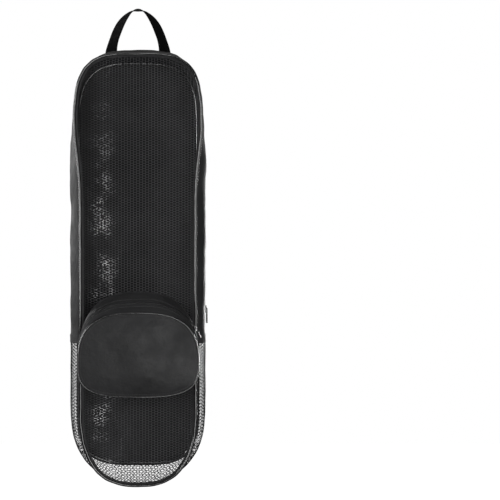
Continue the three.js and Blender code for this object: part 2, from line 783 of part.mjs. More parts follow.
function makeStrap() {
  const half = strapWall / 2;
  const barHalf = Math.hypot(hardwareWall / 2, hardwareBar / 2);
  const seat = strapGap + half; // middle of the webbing that lies on the panel
  const sliderZ = backOutline.bottom + sliderAboveSeam;
  const ringZ = backOutline.bottom + ringAboveSeam;
  const edgeInset = bodyPipingRadius + seamGap + strapWall;
  const panelTop = backOutline.top - edgeInset;
  const panelBottom = backOutline.bottom + edgeInset;
  const on = (z, lift) => ({ out: backFaceAt(z) + lift, z });

  // Lifts of the two strands where they pass the slider's bars.
  const under = seat + strapWall + seamGap;
  const sliderMiddle = under + half + seamGap + hardwareWall / 2;
  const over = sliderMiddle + hardwareWall / 2 + seamGap + half;
  const sliderHalf = sliderCentreBar / 2 + sliderSlot + hardwareBar;
  const slant = strapWall * 0.6;

  // The webbing turns round a ring's bar on this radius.
  const turn = barHalf + seamGap + half;
  const ringMiddle = seat + turn;
  const upperBar = ringZ + ringSlot / 2 + hardwareBar / 2;
  const lowerBar = ringZ - ringSlot / 2 - hardwareBar / 2;
  const turnSteps = 8;
  const around = (barZ, down) =>
    Array.from({ length: turnSteps + 1 }, (_, k) => {
      const angle = (Math.PI * k) / turnSteps;
      const z = barZ + (down ? -1 : 1) * turn * Math.sin(angle);
      return { out: backFaceAt(barZ) + ringMiddle - turn * Math.cos(angle), z };
    });

  // From its hidden end under the slider, down round the ring, up through the slider and on to the top.
  const spaced = (from, to, lift, steps) =>
    Array.from({ length: steps + 1 }, (_, k) => on(THREE.MathUtils.lerp(from, to, k / steps), lift));
  const slotIn = sliderZ - sliderCentreBar / 2 - sliderSlot + slant;
  const slotOut = sliderZ - sliderCentreBar / 2 - slant;
  const strapLine = [
    on(sliderZ + sliderCentreBar / 2, seat),
    on((sliderZ + upperBar) / 2, seat),
    ...around(upperBar, true),
    on(sliderZ - sliderHalf, under),
    on(slotIn, under),
    on(slotOut, over),
    on(2 * sliderZ - slotOut, over),
    on(2 * sliderZ - slotIn, under),
    on(sliderZ + sliderHalf, under),
    on(sliderZ + sliderHalf + strapEase, seat),
    ...spaced(backOutline.spineTop(), panelTop, seat, 6),
  ];
  const anchorLine = [
    on(lowerBar - turn - anchorFold, seat + strapWall + seamGap),
    on(lowerBar - turn, ringMiddle + turn * 0.8),
    ...around(lowerBar, false).reverse(),
    ...spaced(lowerBar - turn, panelBottom, seat, 5),
  ];
  const width = strapWidth + 2 * (hardwareRail + hardwareSideGap);
  const slider = meshOf(
    "strap_slider",
    frameGeometry(width, [hardwareBar, sliderCentreBar, hardwareBar], [sliderSlot, sliderSlot]),
    materials.plastic,
  );
  slider.position.set(0, backFaceAt(sliderZ) + sliderMiddle, sliderZ);
  const ring = meshOf(
    "strap_ring",
    frameGeometry(width, [hardwareBar, hardwareBar], [ringSlot]),
    materials.plastic,
  );
  ring.position.set(0, backFaceAt(ringZ) + ringMiddle, ringZ);
  return [
    meshOf("shoulder_strap", webbingGeometry(strapLine, strapWidth, strapWall), materials.webbing),
    meshOf("strap_anchor", webbingGeometry(anchorLine, strapWidth, strapWall), materials.webbing),
    slider,
    ring,
  ];
}

const bag = new THREE.Group();
bag.add(...makePanels(), ...makeGusset(), ...makePocket(), ...makeHandle(), ...makeStrap());
bag.position.set(0, -handleSetback, -handleRise + handleWall / 2);

const root = new THREE.Group();
root.add(bag);

export default root;
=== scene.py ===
import math

import bmesh
import bpy
import numpy as np
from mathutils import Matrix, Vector


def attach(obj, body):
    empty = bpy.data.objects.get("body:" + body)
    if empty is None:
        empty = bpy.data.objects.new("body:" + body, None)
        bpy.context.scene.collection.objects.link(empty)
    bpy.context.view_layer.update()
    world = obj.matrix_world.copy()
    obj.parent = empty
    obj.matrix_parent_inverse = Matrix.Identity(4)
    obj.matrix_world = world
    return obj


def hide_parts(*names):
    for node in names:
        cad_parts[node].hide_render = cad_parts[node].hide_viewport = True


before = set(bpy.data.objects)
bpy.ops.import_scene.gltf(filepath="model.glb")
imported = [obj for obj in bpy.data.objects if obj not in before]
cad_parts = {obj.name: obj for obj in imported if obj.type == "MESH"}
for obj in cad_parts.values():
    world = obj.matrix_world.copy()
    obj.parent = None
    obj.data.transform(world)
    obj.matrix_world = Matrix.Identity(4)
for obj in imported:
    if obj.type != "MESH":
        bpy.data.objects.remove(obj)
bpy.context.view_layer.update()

# The ridge of the side wall in the frame of the solids, whose origin is the hook point under the handle.
RIDGE = np.array([0.0, -10.0, -67.1])
MM = 0.001  # a millimetre in metres

# Sizes of the solids that the cloth follows.
SEAM_GAP = 0.3
FRONT_Y, BACK_Y = -40.0, 40.0
DEPTH = BACK_Y - FRONT_Y
RISE_TOP, RISE_SHOULDER, RISE_SIDE, RISE_BOTTOM = 12.8, 5.5, 15.0, 4.0  # swell of the side wall
SHOULDER_FROM, SHOULDER_TO = 90.0, 200.0  # how far down the shoulders' swell grows to the sides'
FLARE_HEIGHT, FLARE_REACH = -115.0, 75.0  # where the front panel is a little wider
NYLON_END = -462.0  # height where the nylon side wall ends and the net begins
FRONT_SWELL, BACK_SWELL = 14.0, 5.0
SPINE_SHARE = 0.85  # a panel's middle line ends this share of a corner's height from the outline
PIPING = 2.5
NYLON_WALL, BACK_WALL, NET_WALL = 1.2, 1.6, 1.0
ZIP_FROM, ZIP_TO = 0.65, 0.85  # the main zip's tape, as shares of the side wall's depth
ZIP_WALL = 0.9
POCKET_TOP, POCKET_DEPTH, POCKET_FLARE = 377.0, 34.0, 10.0
POCKET_DROP, POCKET_SWELL, POCKET_RISE = 33.0, 6.0, 4.0
POCKET_PIPING = 1.6
POCKET_RIM, POCKET_ZIP = 6.0, 10.0  # widths of the rim beside the face and of the pocket's zip
POCKET_REACH = 10 / 24  # the pocket's zip runs to this share of the outline on both sides
HANDLE_RISE, HANDLE_SPREAD, HANDLE_WIDTH, HANDLE_WALL = 68.0, 44.0, 20.0, 1.8
HANDLE_BACK, HANDLE_FOOT_INSET = 10.0, 7.0
STRAP_WIDTH, STRAP_WALL, STRAP_GAP = 38.0, 1.5, 0.4
HARDWARE_WALL, HARDWARE_BAR, CENTRE_BAR = 3.2, 4.0, 5.0
SLIDER_SLOT, RING_SLOT = 7.0, 11.0
SLIDER_UP, RING_UP = 190.0, 61.0  # above the back panel's bottom seam
ANCHOR_FOLD, STRAP_EASE = 14.0, 16.0

# Soft hollows of the two panels: across as a share of the half width, down as a share of the length, then
# how wide, tall and deep. They are the same as in the solids.
FRONT_HOLLOWS = [
    (-0.55, 0.16, 0.3, 0.12, 0.16),
    (0.5, 0.24, 0.16, 0.2, 0.22),
    (-0.3, 0.38, 0.22, 0.12, 0.12),
    (-0.6, 0.86, 0.28, 0.07, 0.25),
    (0.35, 0.88, 0.14, 0.09, 0.2),
]
BACK_HOLLOWS = [
    (0.62, 0.3, 0.22, 0.16, 0.12),
    (-0.62, 0.55, 0.2, 0.14, 0.1),
    (0.6, 0.84, 0.24, 0.08, 0.2),
    (-0.55, 0.9, 0.24, 0.07, 0.16),
]

# What only the looks have.
NYLON_RUN, POCKET_RUN = 540, 250  # a side wall's length for a run of 1, roughly
NET_CELL = (4.8, 4.0)  # spacing of the front net's holes, across and down
SIDE_CELL = (6.6, 5.4)  # the side net's, larger than life so that the holes show in a small picture
NET_THREAD, SIDE_THREAD = 0.8, 1.4  # widths of the threads
NET_RIDGE = 0.46  # half the height of a net's thread
STITCH = 3.3  # from one stitch to the next
BINDING_HALF = 0.55  # half the thickness of the front net's binding
BINDING_WALL, BINDING_LIFT = 1.3, 0.2  # the binding of the side net's long edges
JOIN_WALL, JOIN_LIFT = 1.6, 0.45  # and of its joins with the nylon
SIDE_NET_WIDTH = 86.0
COIL_PITCH = 1.5
TOOTH_WIDTH, TOOTH_LENGTH, TOOTH_SHIFT = 0.82, 0.88, 0.09  # as shares of the coil's width and pitch
FOLD_RISE, POCKET_FOLD_RISE = 0.8, 0.7  # how far cloth stands up where it is folded over a zip's tape
SELVEDGE = 0.5  # how much thinner webbing is at its edges
WELD = 1e-6  # in metres, points nearer than this are one
OVERLAP, POCKET_OVERLAP = 3.0, 2.0  # cloth folded over a zip's tape
NET_SEAMS = ((0.994, 1.022), (2.978, 3.006))  # runs of the bindings between the nylon and the side net
MAIN_SLIDER_RUN, POCKET_SLIDER_RUN = 18 / 19, 9 / 24
TUCK, POCKET_TUCK = 2.2, 1.4  # how far cloth goes on into its piping
AMBIENT = 0.06  # light from the surroundings
BAG_MIDDLE = Vector((0, 0, -0.42))  # in metres, as are the places in the studio
FLOOR_Z, FLOOR_REACH, FLOOR_LINES = -2.6, 12, 25


def ripple(seed, a, b, wavelength, waves=7):
    """Smooth seeded waves over the coordinates a and b, mostly between -1 and 1."""
    rng = np.random.default_rng(seed)
    total = np.zeros(np.broadcast(a, b).shape)
    for _ in range(waves):
        heading, phase = rng.uniform(0, 2 * np.pi, 2)
        length = wavelength * rng.uniform(0.6, 1.6)
        total += np.sin(2 * np.pi * (a * np.cos(heading) + b * np.sin(heading)) / length + phase)
    return total / np.sqrt(waves)


def smooth_step(value, low, high):
    """0 up to low and 1 from high on, with a soft rise between."""
    share = np.clip((value - low) / (high - low), 0, 1)
    return share * share * (3 - 2 * share)


def joined(*parts):
    """Points or vectors from their coordinates, each an array or one number for all."""
    return np.stack(np.broadcast_arrays(*parts), -1)


def unit(vectors):
    return vectors / np.linalg.norm(vectors, axis=-1, keepdims=True)


def distances(points):
    """The distance along a line of points, from its first."""
    return np.concatenate([[0], np.cumsum(np.linalg.norm(np.diff(points, axis=0), axis=1))])


def quads(*corners):
    """Faces between grids of point numbers, one grid for each corner of a face."""
    return np.stack([grid.ravel() for grid in corners], 1)


def along_line(at, run, values):
    """Rows of values where the distance along a line is at."""
    return np.stack([np.interp(at, run, column) for column in values.T], 1)


def resampled(points, step):
    """The line of points again, at even steps."""
    run = distances(points)
    count = max(2, int(round(run[-1] / step)) + 1)
    return along_line(np.linspace(0, run[-1], count), run, points)


def rounded(points, times):
    """The line of points with its corners cut off, again and again."""
    for _ in range(times):
        near = points[:-1] * 0.75 + points[1:] * 0.25
        far = points[:-1] * 0.25 + points[1:] * 0.75
        middle = np.stack([near, far], 1).reshape(-1, points.shape[1])
        points = np.concatenate([points[:1], middle[1:-1], points[-1:]])
    return points


class Outline:
    """A rounded outline seen from the front. A share runs from 0 at the middle of the top, down the right
    side to 1 at the middle of the bottom, and down the left side to -1."""

    def __init__(
        self, half_width, top, length, top_corner, top_power, bottom_corner, bottom_power, flare=0.0
    ):
        self.half_width, self.top, self.length = half_width, top, length
        self.bottom = top - length
        self.spine = (self.bottom + bottom_corner * SPINE_SHARE, top - top_corner * SPINE_SHARE)
        angle = np.linspace(0, np.pi / 2, 500)
        sine, cosine = np.sin(angle), np.clip(np.cos(angle), 0, 1)
        upper = [half_width * sine ** (2 / top_power), top - top_corner * (1 - cosine ** (2 / top_power))]
        side = np.linspace(top - top_corner, self.bottom + bottom_corner, 400)[1:-1]
        side = [half_width + 0 * side, side]
        lower = [
            half_width * cosine ** (2 / bottom_power),
            self.bottom + bottom_corner * (1 - sine ** (2 / bottom_power)),
        ]
        self.points = np.concatenate([np.stack(part, 1) for part in (upper, side, lower)])
        height = (self.points[:, 1] - FLARE_HEIGHT) / FLARE_REACH
        self.points[:, 0] *= 1 + flare * np.exp(-(height**2))
        apart = np.linalg.norm(np.diff(self.points, axis=0), axis=1) > 1e-6
        self.points = self.points[np.concatenate([[True], apart])]
        step = np.diff(self.points, axis=0)
        heading = np.unwrap(np.arctan2(step[:, 1], step[:, 0]))
        turn = np.abs(np.diff(heading, prepend=heading[0]))
        running = np.concatenate([[0], np.cumsum(np.hypot(*step.T) + length / 6 * turn)])
        self.measure = running / running[-1]

    def at(self, share):
        share = np.asarray(share, float)
        size = np.abs(share)
        side = np.sign(share) * np.where(size > 1, -1, 1)
        size = np.where(size > 1, 2 - size, size)
        x = np.interp(size, self.measure, self.points[:, 0])
        z = np.interp(size, self.measure, self.points[:, 1])
        return joined(x * side, z)

    def normal(self, share):
        along = self.at(np.asarray(share) + 2e-3) - self.at(np.asarray(share) - 2e-3)
        return unit(joined(-along[..., 1], along[..., 0]))

    def inset(self, share, distance):
        return self.at(share) - self.normal(share) * distance

    def share_at(self, z):
        return np.interp(-z, -self.points[:, 1], self.measure)


class Panel:
    """A swelling panel inside an outline. It stands out most along its spine, the upright middle line."""

    def __init__(self, outline, facing, seam_y, swell, wall, hollows, inset, wrinkle):
        self.outline, self.facing, self.seam_y, self.swell = outline, facing, seam_y, swell
        self.wall, self.hollows, self.edge, self.wrinkle = wall, hollows, inset, wrinkle
        rim = outline.inset(np.linspace(0, 1, 3000), inset)
        low, high = outline.spine
        self.rims = []
        for spine, facing_up in ((low, -1), (high, 1)):
            rise = (rim[:, 1] - spine) * facing_up
            beyond = rise >= -1
            angle = np.arctan2(rim[beyond, 0], rise[beyond])
            order = np.argsort(angle)
            self.rims.append((angle[order], np.hypot(rim[beyond, 0], rise[beyond])[order]))
        order = np.argsort(rim[:, 1])
        self.side = (rim[order, 1], rim[order, 0])

    def out_share(self, x, z):
        """0 on the spine and 1 at the panel's edge."""
        low, high = self.outline.spine
        size = np.abs(x)
        beyond = np.where(z > high, z - high, np.where(z < low, low - z, 0))
        angle = np.arctan2(size, beyond)
        corner = np.where(z > high, np.interp(angle, *self.rims[1]), np.interp(angle, *self.rims[0]))
        reach = np.where(beyond > 0, corner, np.interp(z, *self.side))
        return np.hypot(size, beyond) / reach

    def at(self, x, z, lift=0.0):
        share = np.minimum(self.out_share(x, z), 1)
        hollow = np.zeros(np.shape(share))
        for across, down, wide, tall, depth in self.hollows:
            a = (x / self.outline.half_width - across) / wide
            b = ((self.outline.top - z) / self.outline.length - down) / tall
            hollow = hollow + depth * FRONT_SWELL * np.exp(-(a**2) - b**2)
        stand = (self.swell - hollow) * (1 - share**2)
        stand = stand + self.wrinkle(x, z) * smooth_step(1 - share, 0, 0.3)
        y = self.seam_y + self.facing * (stand + self.wall / 2 + lift)
        return joined(x, y, z)

    def pulled_in(self, flat, most=1.0):
        """Points of the flat panel, those beyond its edge pulled back on to it."""
        share = np.maximum(self.out_share(flat[..., 0], flat[..., 1]) / most, 1)[..., None]
        spine = joined(0, np.clip(flat[..., 1], *self.outline.spine))
        return spine + (flat - spine) / share

    def rings(self, around, across, tuck):
        """The panel's flat points, from the spine out to the edge inside its piping, for rings of cloth."""
        share = np.linspace(-1, 1, around, endpoint=False)[:, None]
        rim = self.outline.inset(share, self.edge - tuck)
        spine = joined(0, np.clip(self.outline.at(share)[..., 1], *self.outline.spine))
        out = (np.linspace(0, 1, across) ** 0.9)[None, :, None]
        return spine + (rim - spine) * out

    def beside_edge(self, distance, count=500):
        """Flat points that run round at a distance inside the edge."""
        return self.outline.inset(np.linspace(-1, 1, count), self.edge + distance)


class Wall:
    """A side wall that swells outwards from the near outline to the far one. run goes along the outlines,
    and across from 0 at the near seam to 1 at the far one."""

    def __init__(self, near, far, shares, near_y, far_y, rise, wrinkle):
        self.near, self.far, self.shares = near, far, shares
        self.near_y, self.far_y, self.rise, self.wrinkle = near_y, far_y, rise, wrinkle

    def section(self, run):
        near_share, far_share = self.shares(run)
        return (
            self.near.at(near_share),
            self.far.at(far_share),
            self.near.normal(near_share),
            self.far.normal(far_share),
        )

    def at(self, run, across, lift=0.0):
        run, across, lift = np.broadcast_arrays(
            np.asarray(run, float), np.asarray(across, float), np.asarray(lift, float)
        )
        a, b, a_out, b_out = self.section(run)
        part = across[..., None]
        normal = unit(a_out + (b_out - a_out) * part)
        near_y, far_y = self.near_y(a), self.far_y(b)
        rise = self.rise(normal, (a + (b - a) * part)[..., 1])
        slant = ((b - a) * normal).sum(-1) + rise * np.pi * np.cos(np.pi * across)
        slope = np.arctan2(slant, np.abs(far_y - near_y)) * np.clip(across / 0.03, 0, 1)
        lift = lift + self.wrinkle(run, across)
        out = rise * np.sin(np.pi * across) + lift * np.cos(slope)
        flat = a + (b - a) * part + normal * out[..., None]
        y = near_y + (far_y - near_y) * across - np.sign(far_y - near_y) * lift * np.sin(slope)
        return joined(flat[..., 0], y, flat[..., 1])

    def share_off(self, run, distance, far=False):
        """How far across the wall a distance from its near or far seam is."""
        a, b, a_out, b_out = self.section(np.asarray(run, float))
        normal = b_out if far else a_out
        rise = self.rise(normal, (b if far else a)[..., 1])
        slant = ((b - a) * normal).sum(-1) + (-1 if far else 1) * rise * np.pi
        share = distance / np.hypot(self.far_y(b) - self.near_y(a), slant)
        return 1 - share if far else share


class Form:
    """Collects a piece's faces, with flat coordinates for its weave."""

    def __init__(self):
        self.points, self.flat, self.faces, self.looks = [], [], [], []
        self.count = 0

    def add(self, points, flat, look, *faces):
        """Adds points with their flat coordinates, and one or more arrays of faces between them."""
        points = np.reshape(points, (-1, 3))
        self.points.append(points)
        self.flat.append(np.reshape(flat, (-1, 2)))
        for group in faces:
            self.faces += (np.asarray(group) + self.count).tolist()
            self.looks += [look] * len(group)
        self.count += len(points)

    def cloth(self, outer, inner, flat, ring=False, spine=False, look=0, lining=None):
        """A closed piece of cloth between two grids of points. Its rows may close into a ring, and its first
        column may be a spine that needs no rim. lining is the look of its inner side."""
        rows, columns = outer.shape[:2]
        index = np.arange(rows * columns).reshape(rows, columns)
        here = index if ring else index[:-1]
        after = np.roll(index, -1, 0) if ring else index[1:]
        under = rows * columns

        faces = [
            quads(here[:, :-1], here[:, 1:], after[:, 1:], after[:, :-1]),
            quads(here[:, :-1], after[:, :-1], after[:, 1:], here[:, 1:]) + under,
            quads(here[:, -1], here[:, -1] + under, after[:, -1] + under, after[:, -1]),
        ]
        if not spine:
            faces.append(quads(here[:, 0], after[:, 0], after[:, 0] + under, here[:, 0] + under))
        if not ring:
            for row in (index[0], index[-1]):
                faces.append(quads(row[:-1], row[:-1] + under, row[1:] + under, row[1:]))
        points = np.concatenate([outer.reshape(-1, 3), inner.reshape(-1, 3)])
        first = len(self.looks) + len(faces[0])
        self.add(points, np.concatenate([flat.reshape(-1, 2)] * 2), look, *faces)
        if lining is not None:
            self.looks[first : first + len(faces[1])] = [lining] * len(faces[1])

    def band(self, wall, runs, across, thick, lift=0.0, look=0):
        """A band of cloth on a side wall. across has one row of shares for each run."""
        run = runs[:, None]
        outer = wall.at(run, across, lift)
        inner = wall.at(run, across, lift - thick)
        middle = outer[:, outer.shape[1] // 2]
        step = np.linalg.norm(np.diff(outer, axis=1), axis=2)
        beside = np.concatenate([np.zeros((len(runs), 1)), np.cumsum(step, 1)], 1)
        self.cloth(outer, inner, joined(distances(middle)[:, None], beside), look=look)

    def grains(self, centres, along, out, size, sides=4, look=0):
        """Small closed grains, such as stitches and a zip's teeth. size is length, width and height."""
        side = unit(np.cross(along, out))
        out = np.cross(side, along)
        angle = np.arange(sides) * 2 * np.pi / sides
        ring = np.stack([np.cos(angle) / 2, np.sin(angle) / 2], 1)
        template = [[-0.5, 0, 0]]
        for x in (-0.3, 0.3):
            template += [[x, a, b] for a, b in ring]
        template = np.array(template + [[0.5, 0, 0]]) * np.array(size)
        basis = np.stack([along, side, out], 1)
        points = centres[:, None] + np.einsum("kj,njc->nkc", template, basis)
        near = 1 + np.arange(sides)
        after = np.roll(near, -1)
        tip = 0 * near + 2 * sides + 1
        ends = np.concatenate([quads(0 * near, after, near), quads(tip, near + sides, after + sides)])
        middle = quads(near, after, after + sides, near + sides)
        first = (np.arange(len(centres)) * len(template))[:, None, None]
        flat = np.repeat(centres[:, [0, 2]], len(template), 0)
        self.add(points, flat, look, (ends + first).reshape(-1, 3), (middle + first).reshape(-1, 4))

    def stitches(self, surface, pitch=STITCH, look=1, size=(2.5, 0.75, 0.6), lift=0.12):
        """A row of stitches. surface(lift) is the row's line of points at a height above the cloth."""
        low, high = surface(lift), surface(lift + 1)
        run = distances(low)
        at = np.arange(pitch / 2, run[-1], pitch)
        ahead = along_line(at + 0.5, run, low) - along_line(at - 0.5, run, low)
        out = along_line(at, run, high - low)
        self.grains(along_line(at, run, low), unit(ahead), unit(out), size, look=look)

    def seam(self, wall, runs, across, height=0.0, look=1):
        """Stitches along a side wall, at a height above its cloth."""
        self.stitches(lambda lift: wall.at(runs, across, lift + height), look=look)

    def seam_round(self, panel, distance, height=0.0, look=1):
        """Stitches round a panel, at a distance inside its edge."""
        line = panel.beside_edge(distance)
        self.stitches(lambda lift: panel.at(line[:, 0], line[:, 1], lift + height), look=look)

    def tube(self, centres, first, second, sides):
        """A closed round of cord along centres. The two vectors at each point span its section."""
        angle = np.arange(sides) * 2 * np.pi / sides
        points = (
            centres[:, None]
            + first[:, None] * np.cos(angle)[None, :, None]
            + second[:, None] * np.sin(angle)[None, :, None]
        )
        here = np.arange(len(centres) * sides).reshape(len(centres), sides)
        after = np.roll(here, -1, 0)
        faces = quads(here, np.roll(here, -1, 1), np.roll(after, -1, 1), after)
        flat = joined(distances(centres)[:, None], angle * np.linalg.norm(first[0]))
        self.add(points, flat, 0, faces)

    def block(self, size, place, basis, radius, waist=0.0):
        """A block with rounded edges, its sides drawn in by waist half way along its length."""
        half = np.array(size) / 2
        radius = min(radius, *half)
        turns, rings = 24, 13
        polar = np.linspace(0, np.pi, rings)[:, None]
        turn = (np.arange(turns) * 2 * np.pi / turns)[None, :]
        normal = joined(np.sin(polar) * np.cos(turn), np.sin(polar) * np.sin(turn), np.cos(polar))
        normal[np.abs(normal) < 1e-9] = 0
        local = np.sign(normal) * (half - radius) + normal * radius
        local[..., 1] *= 1 - waist * (1 - (local[..., 0] / half[0]) ** 2)
        points = local @ basis + place
        index = np.arange(rings * turns).reshape(rings, turns)
        here, after = index[:-1], index[1:]
        faces = quads(here, after, np.roll(after, -1, 1), np.roll(here, -1, 1))
        self.add(points, local[..., :2], 0, faces)

    def net(self, low, high, pull_in, place, cell, thread):
        """Net with six-sided holes over the flat rectangle from low to high. pull_in(flat, most) moves points
        beyond the net's edge back on to it, and place(flat, lift) puts flat points on the real surface."""
        wide, tall = cell
        t, h = thread / 2, tall / 2
        tip = (wide**2 + h**2) / (2 * wide)
        corner = wide - tip
        rim = np.array([(corner, h), (tip, 0), (corner, -h), (-corner, -h), (-tip, 0), (-corner, h)])
        hole_corner, hole_tip = corner - 0.65 * t, tip - 1.09 * t
        hole = [(hole_corner, h - t), (hole_tip, 0), (hole_corner, t - h)]
        hole = np.array(hole + [(-x, -y) for x, y in hole])
        i, j = np.meshgrid(
            np.arange(math.floor(low[0] / wide), math.ceil(high[0] / wide) + 1),
            np.arange(math.floor(low[1] / tall) - 1, math.ceil(high[1] / tall) + 1),
            indexing="ij",
        )
        centres = joined(i * wide, (j + (i % 2) / 2) * tall).reshape(-1, 2)
        corners = centres[:, None] + rim
        moved = np.linalg.norm(pull_in(corners, 1.0) - corners, axis=2) > 1e-6
        kept = ~moved.all(1)
        centres, corners = centres[kept], corners[kept]
        holes = centres[:, None] + hole
        keys = np.round(corners.reshape(-1, 2) / 0.05).astype(int)
        _, first, shared = np.unique(keys, axis=0, return_index=True, return_inverse=True)
        knots = pull_in(corners.reshape(-1, 2)[first], 1.0)
        holes = pull_in(holes.reshape(-1, 2), 0.996)
        shared = shared.reshape(-1, 6)
        points = np.concatenate([place(knots, NET_RIDGE), place(knots, -NET_RIDGE), place(holes, 0.0)])
        count = len(knots)
        rims = np.arange(len(holes)).reshape(-1, 6) + 2 * count
        after, rims_after = np.roll(shared, -1, 1), np.roll(rims, -1, 1)
        faces = [
            np.stack([shared, after, rims_after, rims], -1).reshape(-1, 4),
            np.stack([shared + count, rims, rims_after, after + count], -1).reshape(-1, 4),
        ]
        sides = np.stack([shared, after], -1).reshape(-1, 2)
        _, where, used = np.unique(np.sort(sides, 1), axis=0, return_index=True, return_counts=True)
        open_sides = sides[where[used == 1]]
        faces.append(np.concatenate([open_sides, open_sides[:, ::-1] + count], 1))
        self.add(points, np.concatenate([knots, knots, holes]), 0, *faces)

    def piece(self, name, finishes, nodes, slot, sharp=50):
        """Makes the piece from all that was collected."""
        mesh = bpy.data.meshes.new(name)
        points = (np.concatenate(self.points) + RIDGE) * MM
        mesh.from_pydata(points.tolist(), [], self.faces)
        for finish in finishes:
            mesh.materials.append(finish)
        mesh.polygons.foreach_set("material_index", self.looks)
        layer = mesh.uv_layers.new(name="weave")
        corner = np.zeros(len(mesh.loops), int)
        mesh.loops.foreach_get("vertex_index", corner)
        layer.data.foreach_set("uv", (np.concatenate(self.flat) * MM)[corner].ravel())
        shape = bmesh.new()
        shape.from_mesh(mesh)
        bmesh.ops.remove_doubles(shape, verts=shape.verts, dist=WELD)
        bmesh.ops.recalc_face_normals(shape, faces=shape.faces)
        shape.to_mesh(mesh)
        shape.free()
        mesh.shade_smooth()
        mesh.set_sharp_from_angle(angle=math.radians(sharp))
        put_in_place(name, mesh, nodes)


def put_in_place(name, mesh, nodes):
    """Adds a piece that rides on the body and stands for the named solids."""
    piece = bpy.data.objects.new(name, mesh)
    bpy.context.scene.collection.objects.link(piece)
    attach(piece, "root")
    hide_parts(*nodes)


class Finish:
    """A material on the standard shader, with short calls for its nodes."""

    def __init__(self, name, **uniform):
        self.material = bpy.data.materials.new(name)
        self.material.use_nodes = True
        self.tree = self.material.node_tree
        self.shader = self.tree.nodes["Principled BSDF"]
        for socket, value in uniform.items():
            self.shader.inputs[socket.replace("_", " ")].default_value = value
        self.height = None
        self.place = self.node("ShaderNodeTexCoord", {}, output="Object")

    def node(self, kind, inputs, output=0, **settings):
        node = self.tree.nodes.new(kind)
        for key, value in settings.items():
            setattr(node, key, value)
        for key, value in inputs.items():
            if isinstance(value, bpy.types.NodeSocket):
                self.tree.links.new(value, node.inputs[key])
            else:
                node.inputs[key].default_value = value
        return node.outputs[output]

    def noise(self, size, detail=2.0, roughness=0.5):
        """Noise whose blotches are about size across, in metres."""
        inputs = {"Vector": self.place, "Scale": 1 / size, "Detail": detail, "Roughness": roughness}
        return self.node("ShaderNodeTexNoise", inputs)

    def weave(self):
        return self.node("ShaderNodeUVMap", {}, uv_map="weave")

    def ribs(self, pitch, direction):
        """Even ribs along the weave, a pitch apart."""
        inputs = {"Vector": self.weave(), "Scale": math.pi / 10 / pitch}
        return self.node("ShaderNodeTexWave", inputs, output="Fac", bands_direction=direction)

    def axes(self, vector):
        """The parts of a vector, to be read as ["X"], ["Y"] and ["Z"]."""
        parts = self.tree.nodes.new("ShaderNodeSeparateXYZ")
        self.tree.links.new(vector, parts.inputs[0])
        return parts.outputs

    def math(self, operation, *values):
        return self.node("ShaderNodeMath", dict(enumerate(values)), operation=operation)

    def times(self, first, second):
        return self.math("MULTIPLY", first, second)

    def between(self, value, low, high, start=0.0, end=1.0):
        names = ("Value", "From Min", "From Max", "To Min", "To Max")
        return self.node("ShaderNodeMapRange", dict(zip(names, (value, start, end, low, high))))

    def colour(self, value, *stops):
        """Colours the surface by value. Each stop has a position and a tone: red and green, and blue."""
        node = self.tree.nodes.new("ShaderNodeValToRGB")
        elements = node.color_ramp.elements
        while len(elements) < len(stops):
            elements.new(0.5)
        for element, (position, (grey, blue)) in zip(elements, stops):
            element.position = position
            element.color = (grey, grey, blue, 1)
        self.tree.links.new(value, node.inputs["Fac"])
        self.tree.links.new(node.outputs["Color"], self.shader.inputs["Base Color"])

    def roughness(self, value, *limits):
        """Maps a value on to a range of roughness."""
        self.tree.links.new(self.between(value, *limits), self.shader.inputs["Roughness"])

    def bump(self, height, distance):
        inputs = {"Height": height, "Distance": distance, "Strength": 1.0}
        if self.height is not None:
            inputs["Normal"] = self.height
        self.height = self.node("ShaderNodeBump", inputs)
        self.tree.links.new(self.height, self.shader.inputs["Normal"])


def nylon_finish(name, dark, light, crumple, rough, specular):
    """Coated nylon: a fine plain weave, soft crumples, and dull and brighter patches where it has rubbed. The
    gaps between the threads are painted a little darker, as shade.
    """
    finish = Finish(name, Specular_IOR_Level=specular, Sheen_Weight=0.03, Sheen_Roughness=0.45)
    threads = finish.math("ADD", finish.ribs(0.00055, "X"), finish.ribs(0.00055, "Y"))
    # Random tone, with painted shade: the colour follows the weave and is darker between the threads.
    tone_and_groove_shade = finish.math("ADD", finish.noise(0.09, 4.0, 0.6), finish.between(threads, -0.05, 0.05, 0.0, 2.0))
    finish.colour(tone_and_groove_shade, (0.32, dark), (0.7, light))
    finish.roughness(finish.noise(0.03, 3.0), rough, rough + 0.18, 0.3, 0.7)
    finish.bump(finish.noise(0.018, 3.0, 0.55), crumple)
    finish.bump(threads, 0.000012)
    return finish.material


